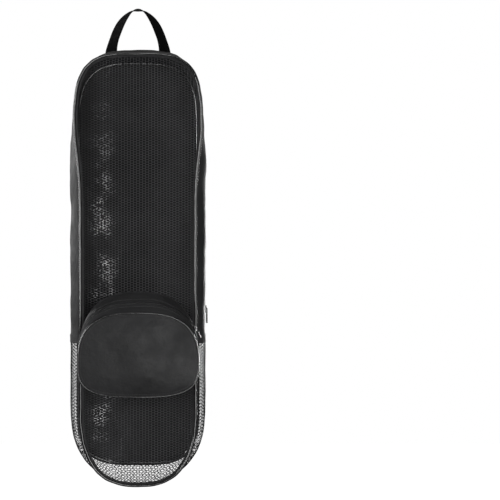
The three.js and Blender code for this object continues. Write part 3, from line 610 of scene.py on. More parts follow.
def net_finish(name, dark, middle, light):
    """Knitted polyester thread, a little hairy. Its colour is painted highlights: soft lighter patches over
    most of the net, and bright glints on the threads in a band at the left, fainter towards the top.
    """
    finish = Finish(name, Specular_IOR_Level=0.55)
    axes = finish.axes(finish.place)
    # The band at the left where the threads get painted glints, fainter towards the top.
    outer = finish.between(axes["X"], 0.0, 1.0, -0.088, -0.066)
    inner = finish.between(axes["X"], 1.0, 0.0, -0.052, -0.016)
    lower = finish.between(axes["Z"], 1.0, 0.35, -0.34, -0.17)
    painted_glint_mask = finish.between(finish.noise(0.035, 3.0), 0.0, 1.0, 0.46, 0.62)
    painted_glint_mask = finish.times(finish.times(outer, inner), finish.times(lower, painted_glint_mask))
    # Painted sheen: soft lighter patches, faint at the left edge.
    painted_sheen_patches = finish.between(finish.noise(0.04, 4.0, 0.65), 0.15, 0.4, 0.2, 0.8)
    painted_sheen_patches = finish.times(painted_sheen_patches, finish.between(axes["X"], 0.15, 1.0, -0.08, -0.055))
    painted_sparkle = finish.between(finish.noise(0.003, 1.0), 0.0, 0.7, 0.42, 0.6)
    # The colour adds the painted glints to the painted sheen patches.
    blotches_and_painted_light = finish.math("MULTIPLY_ADD", painted_glint_mask, painted_sparkle, painted_sheen_patches)
    finish.colour(blotches_and_painted_light, (0.0, dark), (0.4, middle), (1.0, light))
    finish.roughness(painted_glint_mask, 0.45, 0.2)
    finish.bump(finish.noise(0.0006, 2.0), 0.00008)
    return finish.material


def webbing_finish(name, dark, light, specular):
    """Webbing woven in rows of small chevrons, duller where it is worn. Its colour is random worn blotches,
    and painted shade that darkens the grooves of the weave.
    """
    finish = Finish(name, Specular_IOR_Level=specular)
    axes = finish.axes(finish.weave())
    zigzag = finish.math("PINGPONG", axes["Y"], 0.0022)
    phase = finish.times(finish.math("ADD", axes["X"], zigzag), 2 * math.pi / 0.0016)
    chevron = finish.between(finish.math("SINE", phase), 0.0, 1.0, -1.0, 1.0)
    height = finish.math("ADD", chevron, finish.times(finish.ribs(0.0022, "Y"), 0.6))
    blotches = finish.between(finish.noise(0.006, 3.0, 0.6), 0.3, 0.6)
    # Painted shade: the colour follows the weave's height, so its grooves are darker. The blotches are wear.
    blotches_and_painted_light = finish.math("ADD", blotches, finish.between(height, -0.2, 0.14, 0, 1.6))
    finish.colour(blotches_and_painted_light, (0.25, dark), (0.7, light))
    finish.roughness(finish.noise(0.008), 0.55, 0.8, 0.3, 0.7)
    finish.bump(height, 0.0003)
    return finish.material


def tape_finish(name, dark, light, pitch):
    """Tape with fine cross ribs, as zips and seam bindings have. The grooves between the ribs are painted
    darker, as shade.
    """
    finish = Finish(name, Specular_IOR_Level=0.35, Sheen_Weight=0.1)
    ribs = finish.ribs(pitch, "X")
    # Random tone, with painted shade: darker in the grooves between the ribs.
    tone_and_groove_shade = finish.math("ADD", finish.noise(0.02, 3.0), finish.between(ribs, -0.1, 0.1))
    finish.colour(tone_and_groove_shade, (0.3, dark), (0.7, light))
    finish.roughness(finish.noise(0.006), 0.55, 0.75, 0.3, 0.7)
    finish.bump(ribs, 0.00016)
    return finish.material


def gloss_finish(name, dark, light, rough, grain, depth, coat=0.0, shine=1.5):
    """Smooth moulded or coated surfaces with a faint grain and dull scuffs."""
    finish = Finish(name, Coat_Weight=coat, Coat_Roughness=0.14, Coat_IOR=shine)
    finish.colour(finish.noise(0.02, 4.0, 0.6), (0.3, dark), (0.75, light))
    finish.roughness(finish.noise(0.0035, 5.0, 0.7), rough, rough + 0.22, 0.45, 0.75)
    finish.bump(finish.noise(grain, 2.0), depth)
    return finish.material


def thread_finish(name, dark, light):
    """Sewing thread with the twist of its strands."""
    finish = Finish(name, Specular_IOR_Level=0.5, Sheen_Weight=0.1)
    finish.colour(finish.noise(0.004, 3.0), (0.3, dark), (0.7, light))
    finish.roughness(finish.noise(0.001), 0.4, 0.6)
    finish.bump(finish.noise(0.0004, 1.0), 0.00008)
    return finish.material


NYLON = nylon_finish("coated_nylon", (0.010, 0.0105), (0.021, 0.022), 0.0013, 0.42, 0.26)
BACK_NYLON = nylon_finish("back_nylon", (0.008, 0.0083), (0.017, 0.0178), 0.0003, 0.34, 0.5)
LINING = nylon_finish("coated_lining", (0.014, 0.0145), (0.024, 0.025), 0.0008, 0.6, 0.2)
# The net's middle and lightest tones are the colours of its painted sheen and painted glints.
NET = net_finish("knitted_net", (0.010, 0.0105), (0.080, 0.084), (0.75, 0.76))
# The side net is the same net in darker tones, painted shade, so its painted highlights are faint.
SIDE_NET = net_finish("side_net", (0.006, 0.0063), (0.012, 0.0125), (0.030, 0.031))
WEBBING = webbing_finish("woven_webbing", (0.030, 0.0308), (0.064, 0.0655), 0.3)
HANDLE_WEBBING = webbing_finish("handle_webbing", (0.002, 0.002), (0.007, 0.0073), 0.06)
PIPING_TONES = (0.006, 0.0063), (0.012, 0.0125)
PIPING_LOOK = gloss_finish("glossy_piping", *PIPING_TONES, 0.08, 0.006, 0.0003, 0.8)
BACK_PIPING_LOOK = gloss_finish("back_glossy_piping", *PIPING_TONES, 0.16, 0.006, 0.0003, 1.0, 2.0)
ZIP_TAPE = tape_finish("zip_tape", (0.008, 0.0084), (0.018, 0.019), 0.0009)
BINDING = tape_finish("seam_binding", (0.007, 0.0073), (0.015, 0.016), 0.0012)
COIL = gloss_finish("zip_coil", (0.010, 0.0105), (0.018, 0.019), 0.32, 0.001, 0.00003)
ENAMEL = gloss_finish("slider_enamel", (0.008, 0.0083), (0.016, 0.0165), 0.22, 0.002, 0.00004, 0.5, 1.8)
MOULDED = gloss_finish("moulded_plastic", (0.014, 0.0145), (0.026, 0.027), 0.2, 0.0009, 0.00004, 0.8, 2.4)
THREAD = thread_finish("sewing_thread", (0.014, 0.0145), (0.030, 0.032))


def two_runs(split):
    """Shares of an outline for runs of 1 over the nylon part of the side wall, and 1 more to the bottom."""

    def share(run):
        size = np.abs(run)
        return np.sign(run) * np.where(size < 1, split * size, split + (1 - split) * (size - 1))

    return share


front_outline = Outline(91.5, -11, 686.5, 87, 3.5, 125, 2.6, flare=0.11)
back_outline = Outline(97.5, -14.5, 660, 103, 3.1, 110, 3.8)
front_share = two_runs(front_outline.share_at(NYLON_END))
back_share = two_runs(back_outline.share_at(NYLON_END))


def front_wrinkle(x, z):
    """The net hangs in shallow slanting waves."""
    return 0.9 * ripple(3, x * 1.3, z * 0.7, 80) + 0.3 * ripple(4, x, z, 26)


def back_wrinkle(x, z):
    """The back panel has shallow creases beside the strap, and lies flat under it."""
    beside = smooth_step(np.abs(x), 20, 42)
    low = smooth_step(-z, 380, 600)
    crease = np.exp(-((ripple(11, x, z * 0.7, 120) / 0.22) ** 2))
    wave = 2.4 * ripple(13, x, z * 0.8, 150) + 0.6 * ripple(12, x, z, 60)
    return beside * (wave + (0.12 + 0.3 * low) * crease)


def gusset_wrinkle(run, across):
    """The side wall puckers along its seams and ripples between them."""
    along, depth = run * NYLON_RUN, across * DEPTH
    inside = np.sin(np.pi * np.clip(across, 0, 1))
    pucker = ripple(21, along, depth * 0.25, 17) * np.exp(-(((across - 0.5) / 0.42) ** 8))
    calm = 1 - 0.7 * smooth_step(np.abs(run), 0.96, 1.06)
    return inside * calm * (0.55 * ripple(22, along, depth * 0.7, 75) + 0.2 * pucker)


def gusset_rise(normal, z):
    """How far the side wall swells out: differently over the top, the shoulders, the sides and the bottom."""
    up = normal[..., 1]
    side = RISE_SHOULDER + (RISE_SIDE - RISE_SHOULDER) * smooth_step(-z, SHOULDER_FROM, SHOULDER_TO)
    over = side + (RISE_TOP - side) * np.clip(up, 0, 1) ** 4
    return np.where(up > 0, over, side + (RISE_BOTTOM - side) * -up)


def everywhere(value):
    """A seam's place or a wall's rise that is the same at all points."""
    return lambda point, *_: np.full(point.shape[:-1], value)


body_inset = PIPING + SEAM_GAP
front = Panel(front_outline, -1, FRONT_Y, FRONT_SWELL, NET_WALL, FRONT_HOLLOWS, body_inset, front_wrinkle)
back = Panel(back_outline, 1, BACK_Y, BACK_SWELL, BACK_WALL, BACK_HOLLOWS, body_inset, back_wrinkle)
gusset = Wall(
    front_outline,
    back_outline,
    lambda run: (front_share(run), back_share(run)),
    everywhere(FRONT_Y),
    everywhere(BACK_Y),
    gusset_rise,
    gusset_wrinkle,
)

pocket_base = Outline(83.5, front_outline.top - POCKET_TOP, 158, 66, 2.3, 50, 3)
pocket_outline = Outline(
    pocket_base.half_width + POCKET_FLARE, pocket_base.top - POCKET_DROP, 130, 80, 2.75, 50, 3.05
)
POCKET_Y = FRONT_Y - FRONT_SWELL - POCKET_DEPTH


def pocket_wrinkle(run, across):
    """The pocket's sides crease where the full front of the bag pushes them out."""
    along, depth = run * POCKET_RUN, across * POCKET_DEPTH
    inside = np.sin(np.pi * np.clip(across, 0, 1)) ** 0.7
    crease = np.exp(-((ripple(31, along, depth, 70) / 0.25) ** 2))
    return inside * (0.5 * ripple(32, along, depth, 34) + 0.7 * crease)


def face_wrinkle(x, z):
    return 0.5 * ripple(33, x, z, 85) + 0.2 * ripple(34, x, z, 32)


pocket = Wall(
    pocket_base,
    pocket_outline,
    lambda run: (run, run),
    lambda point: front.at(point[..., 0], point[..., 1], SEAM_GAP)[..., 1],
    everywhere(POCKET_Y),
    everywhere(POCKET_RISE),
    pocket_wrinkle,
)
face_inset = POCKET_PIPING + SEAM_GAP
pocket_face = Panel(pocket_outline, -1, POCKET_Y, POCKET_SWELL, NYLON_WALL, [], face_inset, face_wrinkle)


def shares_between(low, high, count):
    """A row of shares from low to high for each run."""
    part = np.linspace(0, 1, count)[None, :]
    low, high = np.asarray(low)[..., None], np.asarray(high)[..., None]
    return low + (high - low) * part


def make_nets():
    form = Form()
    low = (-front_outline.half_width, front_outline.bottom)
    high = (front_outline.half_width, front_outline.top)
    place = lambda flat, lift: front.at(flat[..., 0], flat[..., 1], lift)
    form.net(low, high, front.pulled_in, place, NET_CELL, NET_THREAD)
    # A binding covers the net's cut edge beside the piping.
    beside = np.linspace(-TUCK, 2.6, 6)
    edge = np.stack([front.beside_edge(d, 420)[:-1] for d in beside], 1)
    x, z = edge[..., 0], edge[..., 1]
    flat = joined(distances(edge[:, 0])[:, None], beside)
    form.cloth(front.at(x, z, BINDING_HALF), front.at(x, z, -BINDING_HALF), flat, ring=True, look=1)
    form.seam_round(front, 1.7, 0.5, look=2)
    form.piece("front_net", [NET, BINDING, THREAD], ["front_net_panel"], "net")

    form = Form()
    runs = np.linspace(1, 3, 600)
    along = distances(gusset.at(runs, 0.5))

    def pull_in(flat, most):
        """Keeps points on the net laid flat, and a little inside it where most is under 1."""
        gap = (1 - most) * 40
        across = np.clip(flat[..., 0], gap, SIDE_NET_WIDTH - gap)
        return joined(across, np.clip(flat[..., 1], gap, along[-1] - gap))

    def place(flat, lift):
        """Lays points of the flat net on to the side wall."""
        run = np.interp(flat[..., 1], along, runs)
        near, far = gusset.share_off(run, body_inset), gusset.share_off(run, body_inset, True)
        return gusset.at(run, near + (far - near) * flat[..., 0] / SIDE_NET_WIDTH, lift - NET_WALL / 2)

    form.net((0, 0), (SIDE_NET_WIDTH, along[-1]), pull_in, place, SIDE_CELL, SIDE_THREAD)
    bound = np.linspace(1, 3, 320)
    for far in (False, True):
        low = gusset.share_off(bound, body_inset - TUCK, far)
        high = gusset.share_off(bound, body_inset + 5, far)
        form.band(gusset, bound, shares_between(low, high, 4), BINDING_WALL, BINDING_LIFT, look=1)
        form.seam(gusset, bound, gusset.share_off(bound, 6.4, far), BINDING_LIFT, look=2)
    # The seam where the net meets the nylon is bound as well.
    for start, end in NET_SEAMS:
        bound = np.linspace(start, end, 5)
        low = gusset.share_off(bound, body_inset - TUCK)
        high = gusset.share_off(bound, body_inset - TUCK, True)
        form.band(gusset, bound, shares_between(low, high, 30), JOIN_WALL, JOIN_LIFT, look=1)
        for run in (start + 0.006, end - 0.006):
            form.seam(gusset, run, np.linspace(0.05, 0.95, 60), JOIN_LIFT, look=2)
    form.piece("side_net", [SIDE_NET, BINDING, THREAD], ["gusset_net"], "net")


def make_panel(name, node, panel, around, across, tuck, seam, looks, lining=None):
    """A closed panel of cloth with a seam round it. lining is the look of its inner side."""
    form = Form()
    flat = panel.rings(around, across, tuck)
    x, z = flat[..., 0], flat[..., 1]
    inner = panel.at(x, z, -panel.wall)
    form.cloth(panel.at(x, z), inner, flat, ring=True, spine=True, lining=lining)
    form.seam_round(panel, seam)
    form.piece(name, looks, [node], "nylon")


def make_strip(name, node, wall, runs, across, lift, seams):
    """A strip of a side wall's nylon. Each seam is a share across the wall and a height."""
    form = Form()
    form.band(wall, runs, across, NYLON_WALL, lift)
    for share, height in seams:
        form.seam(wall, runs, share, height)
    form.piece(name, [NYLON, THREAD], [node], "nylon")


def make_piping(name, outline, y, radius, node, seed, look):
    form = Form()
    share = np.linspace(-1, 1, 460, endpoint=False)
    flat, out = outline.at(share), outline.normal(share)
    wave = 0.12 * radius * ripple(seed, share * outline.length, 0, 45)
    centres = joined(flat[:, 0] + out[:, 0] * wave, y, flat[:, 1] + out[:, 1] * wave)
    outwards = joined(out[:, 0], 0, out[:, 1]) * radius * 0.97
    backwards = np.broadcast_to([0, radius * 0.97, 0], centres.shape)
    form.tube(centres, outwards, backwards, 12)
    form.piece(name, [look], [node], "piping")


def make_zip(name, node, wall, runs, low, high, coil_width, coil_rise):
    """The tape of a zip, and its coil."""
    form = Form()
    form.band(wall, runs, shares_between(low, high, 7), ZIP_WALL)
    middle = (low + high) / 2
    run = distances(wall.at(runs, middle))
    at = np.arange(0, run[-1], COIL_PITCH)
    tooth, across = np.interp(at, run, runs), np.interp(at, run, middle)
    half = coil_rise * 0.5
    base = wall.at(tooth, across, half)
    out = unit(wall.at(tooth, across, half + 1) - base)
    ahead = unit(wall.at(tooth + 2e-3, across, half) - base)
    side = unit(np.cross(out, ahead))
    shift = np.where(np.arange(len(at)) % 2 == 0, 1, -1)[:, None] * coil_width * TOOTH_SHIFT
    size = (coil_width * TOOTH_WIDTH, COIL_PITCH * TOOTH_LENGTH, coil_rise)
    form.grains(base + side * shift, side, out, size, sides=6, look=1)
    form.piece(name, [ZIP_TAPE, COIL], [node], "zip")


def strip_lift(across, edge, width, over):
    """Cloth rises by its own thickness where it is folded over a zip's tape."""
    return over * smooth_step(1 - np.abs(across - edge) / width, 0.35, 0.7)


def make_side_strips():
    runs = np.linspace(-1, 1, 420)
    near = gusset.share_off(runs, body_inset - TUCK)
    far = gusset.share_off(runs, body_inset - TUCK, True)
    fold, gap = OVERLAP / DEPTH, SEAM_GAP / (2 * DEPTH)

    edge = ZIP_FROM + fold
    across = shares_between(near, edge + 0 * near, 26)
    seams = ((edge - 0.02, FOLD_RISE), (ZIP_FROM - 0.05, 0.0), (near + 0.07, 0.0))
    lift = strip_lift(across, edge, 0.1, FOLD_RISE)
    make_strip("side_front_cloth", "gusset_front_strip", gusset, runs, across, lift, seams)

    edge = ZIP_TO - fold
    across = shares_between(edge + 0 * far, far, 12)
    seams = ((edge + 0.02, FOLD_RISE), (far - 0.06, 0.0))
    lift = strip_lift(across, edge, 0.08, FOLD_RISE)
    make_strip("side_back_cloth", "gusset_back_strip", gusset, runs, across, lift, seams)

    low, high = 0 * near + (ZIP_FROM + gap), 0 * near + (ZIP_TO - gap)
    make_zip("main_zip_coil", "main_zip", gusset, runs, low, high, 6.0, 1.6)


def make_slider(name, node, wall, run, step, share, lift, scale):
    """A zip's slider: a waisted body on the coil, a bridge over it, and a pull that hangs from the bridge."""
    here = wall.at(run, share, lift)
    along = unit(wall.at(run - step, share, lift) - here)
    out = wall.at(run, share, lift + 1) - here
    out = unit(out - along * (out @ along))
    basis = np.stack([along, np.cross(along, out), out]) * scale

    def spot(x, y, z):
        """A place in the frame of the slider."""
        return here + np.array([x, y, z]) @ basis

    form = Form()
    form.block((12, 8, 2.8), spot(6, 0, 1.4), basis, radius=1.1, waist=0.22)
    form.block((7.5, 2.6, 1.3), spot(6, 0, 3.2), basis, radius=0.6)
    form.block((2.6, 3.0, 2.0), spot(6, 0, 4.0), basis, radius=0.7)
    # The pull is a small loop round the bridge and a ribbed grip.
    turn = np.linspace(0, 2 * np.pi, 40, endpoint=False)
    loop_x = 2.5 + 4.6 * np.sign(np.cos(turn)) * np.abs(np.cos(turn)) ** 0.7
    loop_y = 2.2 * np.sign(np.sin(turn)) * np.abs(np.sin(turn)) ** 0.7
    line = joined(loop_x, loop_y, 4.3)
    ahead = unit(np.roll(line, -1, 0) - np.roll(line, 1, 0))
    flat_out = np.cross(ahead, [0, 0, 1])
    up = np.broadcast_to([0, 0, 0.75], line.shape)
    form.tube(here + line @ basis, flat_out * 0.75 @ basis, up @ basis, 8)
    form.block((15.0, 5.0, 1.6), spot(-9.8, 0, 4.4), basis, radius=0.75, waist=0.18)
    for x in np.linspace(-14.5, -8.5, 6):
        form.block((0.6, 3.4, 2.1), spot(x, 0, 4.4), basis, radius=0.28)
    form.piece(name, [ENAMEL], [node], "zip_slider", sharp=40)


def pocket_bands(runs):
    """Where the pocket's zip and rim lie across its side wall."""
    a, b, _, _ = pocket.section(runs)
    depth = np.abs(pocket.far_y(b) - pocket.near_y(a))
    zip_to = pocket.share_off(runs, face_inset, True) - POCKET_RIM / depth
    far = pocket.share_off(runs, face_inset - POCKET_TUCK, True)
    return depth, zip_to - POCKET_ZIP / depth, zip_to, far


def make_pocket():
    runs = np.linspace(-POCKET_REACH, POCKET_REACH, 200)
    depth, zip_from, zip_to, far = pocket_bands(runs)
    fold = POCKET_OVERLAP / depth

    edge = zip_from + fold
    across = shares_between(runs * 0, edge, 22)
    lift = strip_lift(across, edge[:, None], 0.16, POCKET_FOLD_RISE)
    seams = ((edge - 0.05, POCKET_FOLD_RISE), (0.07, 0.0))
    make_strip("pocket_crown_cloth", "pocket_crown", pocket, runs, across, lift, seams)

    edge = zip_to - fold
    across = shares_between(edge, far, 8)
    lift = strip_lift(across, edge[:, None], 0.16, POCKET_FOLD_RISE)
    seams = [(edge + 0.05, POCKET_FOLD_RISE)]
    make_strip("pocket_rim_cloth", "pocket_rim", pocket, runs, across, lift, seams)

    make_zip("pocket_zip_coil", "pocket_zip", pocket, runs, zip_from, zip_to, 4.5, 1.2)

    # The underside's two ends are tucked under the crown, the zip and the rim.
    tuck = 0.012
    runs = np.linspace(POCKET_REACH - tuck, 2 - POCKET_REACH + tuck, 320)
    inside = np.minimum(runs - POCKET_REACH, 2 - POCKET_REACH - runs)[:, None]
    far = pocket.share_off(runs, face_inset - POCKET_TUCK, True)
    across = shares_between(runs * 0, far, 20)
    lift = -1.4 * (1 - smooth_step(inside, 0, tuck))
    seams = ((0.08, 0.0), (far - 0.14, 0.0))
    make_strip("pocket_underside_cloth", "pocket_underside", pocket, runs, across, lift, seams)
    make_panel("pocket_face_cloth", "pocket_face", pocket_face, 220, 22, POCKET_TUCK, 2.2, [NYLON, THREAD])


def webbing(form, centres, wide, thick, width, wall):
    """Webbing along centres, with rounded selvedges. wide and thick are unit vectors at each point."""
    across = np.sin(np.linspace(-np.pi / 2, np.pi / 2, 13))
    half = wall / 2 * (1 - SELVEDGE * np.abs(across) ** 10)
    line = centres[:, None] + wide[:, None] * (across * width / 2)[None, :, None]
    rise = thick[:, None] * half[None, :, None]
    flat = joined(distances(centres)[:, None], across * width / 2)
    form.cloth(line + rise, line - rise, flat)


def spline(points, count):
    """A smooth line through the points, with even steps between each two."""
    ends = np.concatenate([[2 * points[0] - points[1]], points, [2 * points[-1] - points[-2]]])
    result = []
    for k in range(1, len(ends) - 2):
        p0, p1, p2, p3 = ends[k - 1 : k + 3]
        t = np.linspace(0, 1, count, endpoint=False)[:, None]
        square, cube = 2 * p0 - 5 * p1 + 4 * p2 - p3, 3 * p1 - p0 - 3 * p2 + p3
        result.append(0.5 * (2 * p1 + (p2 - p0) * t + square * t**2 + cube * t**3))
    return np.concatenate(result + [points[-1:]])


# The handle from a foot to its top: out, up and back as shares of its sizes, and its twist in degrees.
HANDLE_STATIONS = (
    (1.0, 0.0, 0.9, 12),
    (0.97, 0.14, 0.74, 30),
    (0.89, 0.32, 0.52, 40),
    (0.78, 0.5, 0.34, 42),
    (0.64, 0.68, 0.2, 48),
    (0.46, 0.84, 0.1, 60),
    (0.24, 0.965, 0.03, 76),
)


def make_handle():
    """The handle rises from the back strip, and its webbing turns edge on towards the top."""
    foot_y = BACK_Y - HANDLE_FOOT_INSET
    share = 1 - HANDLE_FOOT_INSET / DEPTH
    runs = np.linspace(0, 0.6, 800)
    far_x = back_outline.at(back_share(runs))[:, 0]
    foot_run = np.interp(HANDLE_SPREAD, far_x, runs)
    on = gusset.at(foot_run, share, SEAM_GAP + HANDLE_WALL)
    # Each row is x, y, z and the twist in degrees.
    leg = [(HANDLE_SPREAD, on[1], on[2], 0)]
    for out, up, behind, twist in HANDLE_STATIONS:
        y = HANDLE_BACK + (foot_y - HANDLE_BACK) * behind
        leg.append((out * HANDLE_SPREAD, y, up * HANDLE_RISE, twist))
    leg = np.array(leg)
    mirror = np.array([-1, 1, 1, 1])
    path = np.concatenate([leg * mirror, [(0, HANDLE_BACK, HANDLE_RISE, 90)], leg[::-1]])
    path = spline(path, 10)
    centres, twist = path[:, :3], np.radians(path[:, 3])[:, None]
    along = unit(np.gradient(centres, axis=0) * np.array([1, 0, 1]))
    outwards = joined(-along[:, 2], 0, along[:, 0])
    wide = outwards * np.cos(twist) + np.array([0, 1, 0]) * np.sin(twist)
    thick = np.cross(along, wide)
    form = Form()
    webbing(form, centres, wide, thick, HANDLE_WIDTH, HANDLE_WALL)
    for end in (slice(2, 4), slice(-4, -2)):
        spot, across, out = centres[end].mean(0), wide[end].mean(0), thick[end].mean(0)
        for side in (-1, 1):
            line = spot + across * np.linspace(-8, 8, 20)[:, None]
            surface = lambda lift: line + out * side * (lift + HANDLE_WALL / 2)
            form.stitches(surface, pitch=1.3, size=(1.0, 2.6, 0.7))
    form.piece("handle_webbing", [HANDLE_WEBBING, THREAD], ["carry_handle"], "webbing")


def back_face(z, lift):
    """A point over the middle line of the back panel, as y and z."""
    z = np.asarray(z, float)
    return joined(back.at(0 * z, z, lift)[..., 1], z)


def make_strap():
    half = STRAP_WALL / 2
    seat = STRAP_GAP + half
    slider_z = back_outline.bottom + SLIDER_UP
    ring_z = back_outline.bottom + RING_UP
    edge = body_inset + STRAP_WALL
    panel_top, panel_bottom = back_outline.top - edge, back_outline.bottom + edge
    under = seat + STRAP_WALL + SEAM_GAP
    slider_middle = under + half + SEAM_GAP + HARDWARE_WALL / 2
    over = slider_middle + HARDWARE_WALL / 2 + SEAM_GAP + half
    slider_half = CENTRE_BAR / 2 + SLIDER_SLOT + HARDWARE_BAR
    slant = STRAP_WALL * 0.6
    turn = math.hypot(HARDWARE_WALL / 2, HARDWARE_BAR / 2) + SEAM_GAP + half
    ring_middle = seat + turn
    upper_bar = ring_z + RING_SLOT / 2 + HARDWARE_BAR / 2
    lower_bar = ring_z - RING_SLOT / 2 - HARDWARE_BAR / 2
    folded = lower_bar - turn - ANCHOR_FOLD

    def around(bar_z, down):
        """Half a turn of webbing round a bar of the ring."""
        angle = np.linspace(0, np.pi, 17)
        middle = back_face(bar_z, ring_middle)
        return middle + joined(-turn * np.cos(angle), (-1 if down else 1) * turn * np.sin(angle))

    slot_in = slider_z - CENTRE_BAR / 2 - SLIDER_SLOT + slant
    slot_out = slider_z - CENTRE_BAR / 2 - slant
    up_from = slider_z + slider_half + STRAP_EASE
    strap = [
        back_face([slider_z + CENTRE_BAR / 2, (slider_z + upper_bar) / 2], seat),
        around(upper_bar, True),
        back_face([slider_z - slider_half, slot_in], under),
        back_face([slot_out, 2 * slider_z - slot_out], over),
        back_face([2 * slider_z - slot_in, slider_z + slider_half], under),
        back_face([up_from, back_outline.spine[1]], seat),
        back_face(np.linspace(back_outline.spine[1], panel_top, 12)[1:], seat),
    ]
    anchor = [
        back_face([folded], seat + STRAP_WALL + SEAM_GAP),
        back_face([lower_bar - turn], ring_middle + turn * 0.8),
        around(lower_bar, False)[::-1],
        back_face(np.linspace(lower_bar - turn, panel_bottom, 9), seat),
    ]
    # Rows of stitches hold the ends, each at a height along the back and above it.
    strap_rows = [(panel_top - 4, seat), (panel_top - 8, seat)]
    anchor_rows = [
        (folded + 3.5, seat + STRAP_WALL + 1.2),
        (folded + 7, seat + STRAP_WALL + 2.4),
        (panel_bottom + 4, seat),
    ]
    across = np.linspace(-16.5, 16.5, 30)
    for name, node, line, rows in (
        ("strap_webbing", "shoulder_strap", strap, strap_rows),
        ("anchor_webbing", "strap_anchor", anchor, anchor_rows),
    ):
        line = resampled(rounded(np.concatenate(line), 2), 1.6)
        centres = joined(0, line[:, 0], line[:, 1])
        along = unit(np.gradient(centres, axis=0))
        wide = np.broadcast_to([1.0, 0, 0], centres.shape)
        form = Form()
        webbing(form, centres, wide, np.cross(wide, along), STRAP_WIDTH, STRAP_WALL)
        for z, height in rows:
            surface = lambda lift: row_over_back(across, z, height + half + lift)
            form.stitches(surface, pitch=2.2, size=(1.8, 0.8, 0.7))
        form.piece(name, [WEBBING, THREAD], [node], "webbing")


def row_over_back(across, z, lift):
    """A level row of points over the middle of the back panel."""
    return joined(across, back_face(z, lift)[..., 0], z)


def make_hardware(name, node):
    """The moulded slider or ring, as in the solids but with rounded edges."""
    shape = bmesh.new()
    shape.from_mesh(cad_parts[node].data)
    bmesh.ops.remove_doubles(shape, verts=shape.verts, dist=WELD)
    bmesh.ops.dissolve_limit(shape, angle_limit=0.02, verts=shape.verts, edges=shape.edges)
    edges = [edge for edge in shape.edges if len(edge.link_faces) == 2 and edge.calc_face_angle() > 0.9]
    bmesh.ops.bevel(shape, geom=edges, offset=0.0009, segments=3, profile=0.5, affect="EDGES")
    bmesh.ops.triangulate(shape, faces=shape.faces)
    mesh = bpy.data.meshes.new(name)
    shape.to_mesh(mesh)
    shape.free()
    mesh.materials.append(MOULDED)
    mesh.shade_smooth()
    mesh.set_sharp_from_angle(angle=math.radians(35))
    put_in_place(name, mesh, [node])


def soft_light(name, place, size, power):
    """A rectangular lamp turned to the middle of the bag, which doesn't show in the picture itself."""
    light = bpy.data.lights.new(name, "AREA")
    light.shape = "RECTANGLE"
    light.size, light.size_y = size
    light.energy = power
    lamp = bpy.data.objects.new(name, light)
    lamp.location = place
    lamp.visible_camera = False
    lamp.rotation_euler = (BAG_MIDDLE - Vector(place)).to_track_quat("-Z", "Y").to_euler()
    bpy.context.scene.collection.objects.link(lamp)


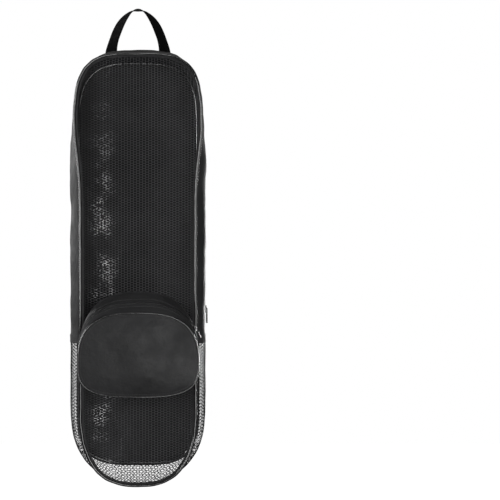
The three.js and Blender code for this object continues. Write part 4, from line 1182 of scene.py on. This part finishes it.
def make_studio():
    """The camera of the photograph, a pale floor far below the hanging bag, and soft lights round it."""
    scene = bpy.context.scene
    camera = bpy.data.objects.new("camera", bpy.data.cameras.new("camera"))
    scene.collection.objects.link(camera)
    scene.camera = camera
    camera.data.sensor_width = 36
    camera.data.lens = 88.8
    # The bag fills the left half of the square picture.
    camera.data.shift_x = 0.224
    camera.data.clip_start, camera.data.clip_end = 0.05, 60
    camera.location = (0, -2.01, -0.390)
    camera.rotation_euler = (math.pi / 2, 0, 0)

    # The surroundings show white, and light the bag more softly than they show.
    world = bpy.data.worlds.new("studio")
    scene.world = world
    world.use_nodes = True
    nodes, links = world.node_tree.nodes, world.node_tree.links
    seen = nodes.new("ShaderNodeLightPath")
    strength = nodes.new("ShaderNodeMath")
    strength.operation = "MULTIPLY_ADD"
    strength.inputs[1].default_value = 1 - AMBIENT
    strength.inputs[2].default_value = AMBIENT
    links.new(seen.outputs["Is Camera Ray"], strength.inputs[0])
    nodes["Background"].inputs["Color"].default_value = (1, 1, 1, 1)
    links.new(strength.outputs[0], nodes["Background"].inputs["Strength"])
    scene.view_settings.view_transform = "Standard"

    soft_light("key_front", (-2.2, -1.5, 0.1), (0.5, 1.4), 46)
    soft_light("key_back", (1.1, 2.5, -0.6), (0.5, 0.9), 20)
    soft_light("rim_back", (-1.9, 1.7, 0.2), (0.4, 1.4), 16)
    soft_light("fill_front", (0.6, -2.6, -0.6), (1.2, 1.6), 34)
    soft_light("fill_back", (-0.6, 2.6, -0.5), (1.2, 1.6), 4)
    soft_light("side_right", (2.4, -0.25, -0.2), (0.7, 1.5), 8)
    soft_light("top", (0.2, 0, 1.6), (1.6, 1.6), 6)

    floor = bpy.data.meshes.new("studio_floor")
    x, y = np.meshgrid(*[np.linspace(-FLOOR_REACH, FLOOR_REACH, FLOOR_LINES)] * 2)
    grid = joined(x, y, FLOOR_Z).reshape(-1, 3)
    index = np.arange(x.size).reshape(x.shape)
    faces = quads(index[:-1, :-1], index[:-1, 1:], index[1:, 1:], index[1:, :-1])
    floor.from_pydata(grid.tolist(), [], faces.tolist())
    finish = Finish("floor_paint", Roughness=0.8, Emission_Color=(1, 1, 1, 1), Emission_Strength=1.0)
    finish.colour(finish.noise(0.8, 2.0), (0.3, (0.93, 0.93)), (0.7, (0.96, 0.96)))
    floor.materials.append(finish.material)
    ground = bpy.data.objects.new("studio_floor", floor)
    ground.visible_diffuse = ground.visible_glossy = False
    scene.collection.objects.link(ground)


make_studio()
make_nets()
make_panel("back_cloth", "back_panel", back, 340, 30, TUCK, 3.5, [BACK_NYLON, THREAD, LINING], lining=2)
make_piping("front_welt", front_outline, FRONT_Y, PIPING, "front_piping", 41, PIPING_LOOK)
make_piping("back_welt", back_outline, BACK_Y, PIPING, "back_piping", 42, BACK_PIPING_LOOK)
make_side_strips()
main_middle = (ZIP_FROM + ZIP_TO) / 2
make_slider("main_slider", "main_zip_slider", gusset, MAIN_SLIDER_RUN, 1 / 19, main_middle, 1.9, 1.0)
make_pocket()
make_piping("pocket_welt", pocket_outline, POCKET_Y, POCKET_PIPING, "pocket_piping", 43, PIPING_LOOK)
_, zip_low, zip_high, _ = pocket_bands(np.array([POCKET_SLIDER_RUN]))
pocket_middle = (zip_low[0] + zip_high[0]) / 2
make_slider("pocket_slider", "pocket_zip_slider", pocket, POCKET_SLIDER_RUN, 1 / 24, pocket_middle, 1.5, 0.75)
make_handle()
make_strap()
make_hardware("strap_adjuster", "strap_slider")
make_hardware("strap_loop", "strap_ring")

bpy.context.view_layer.update()
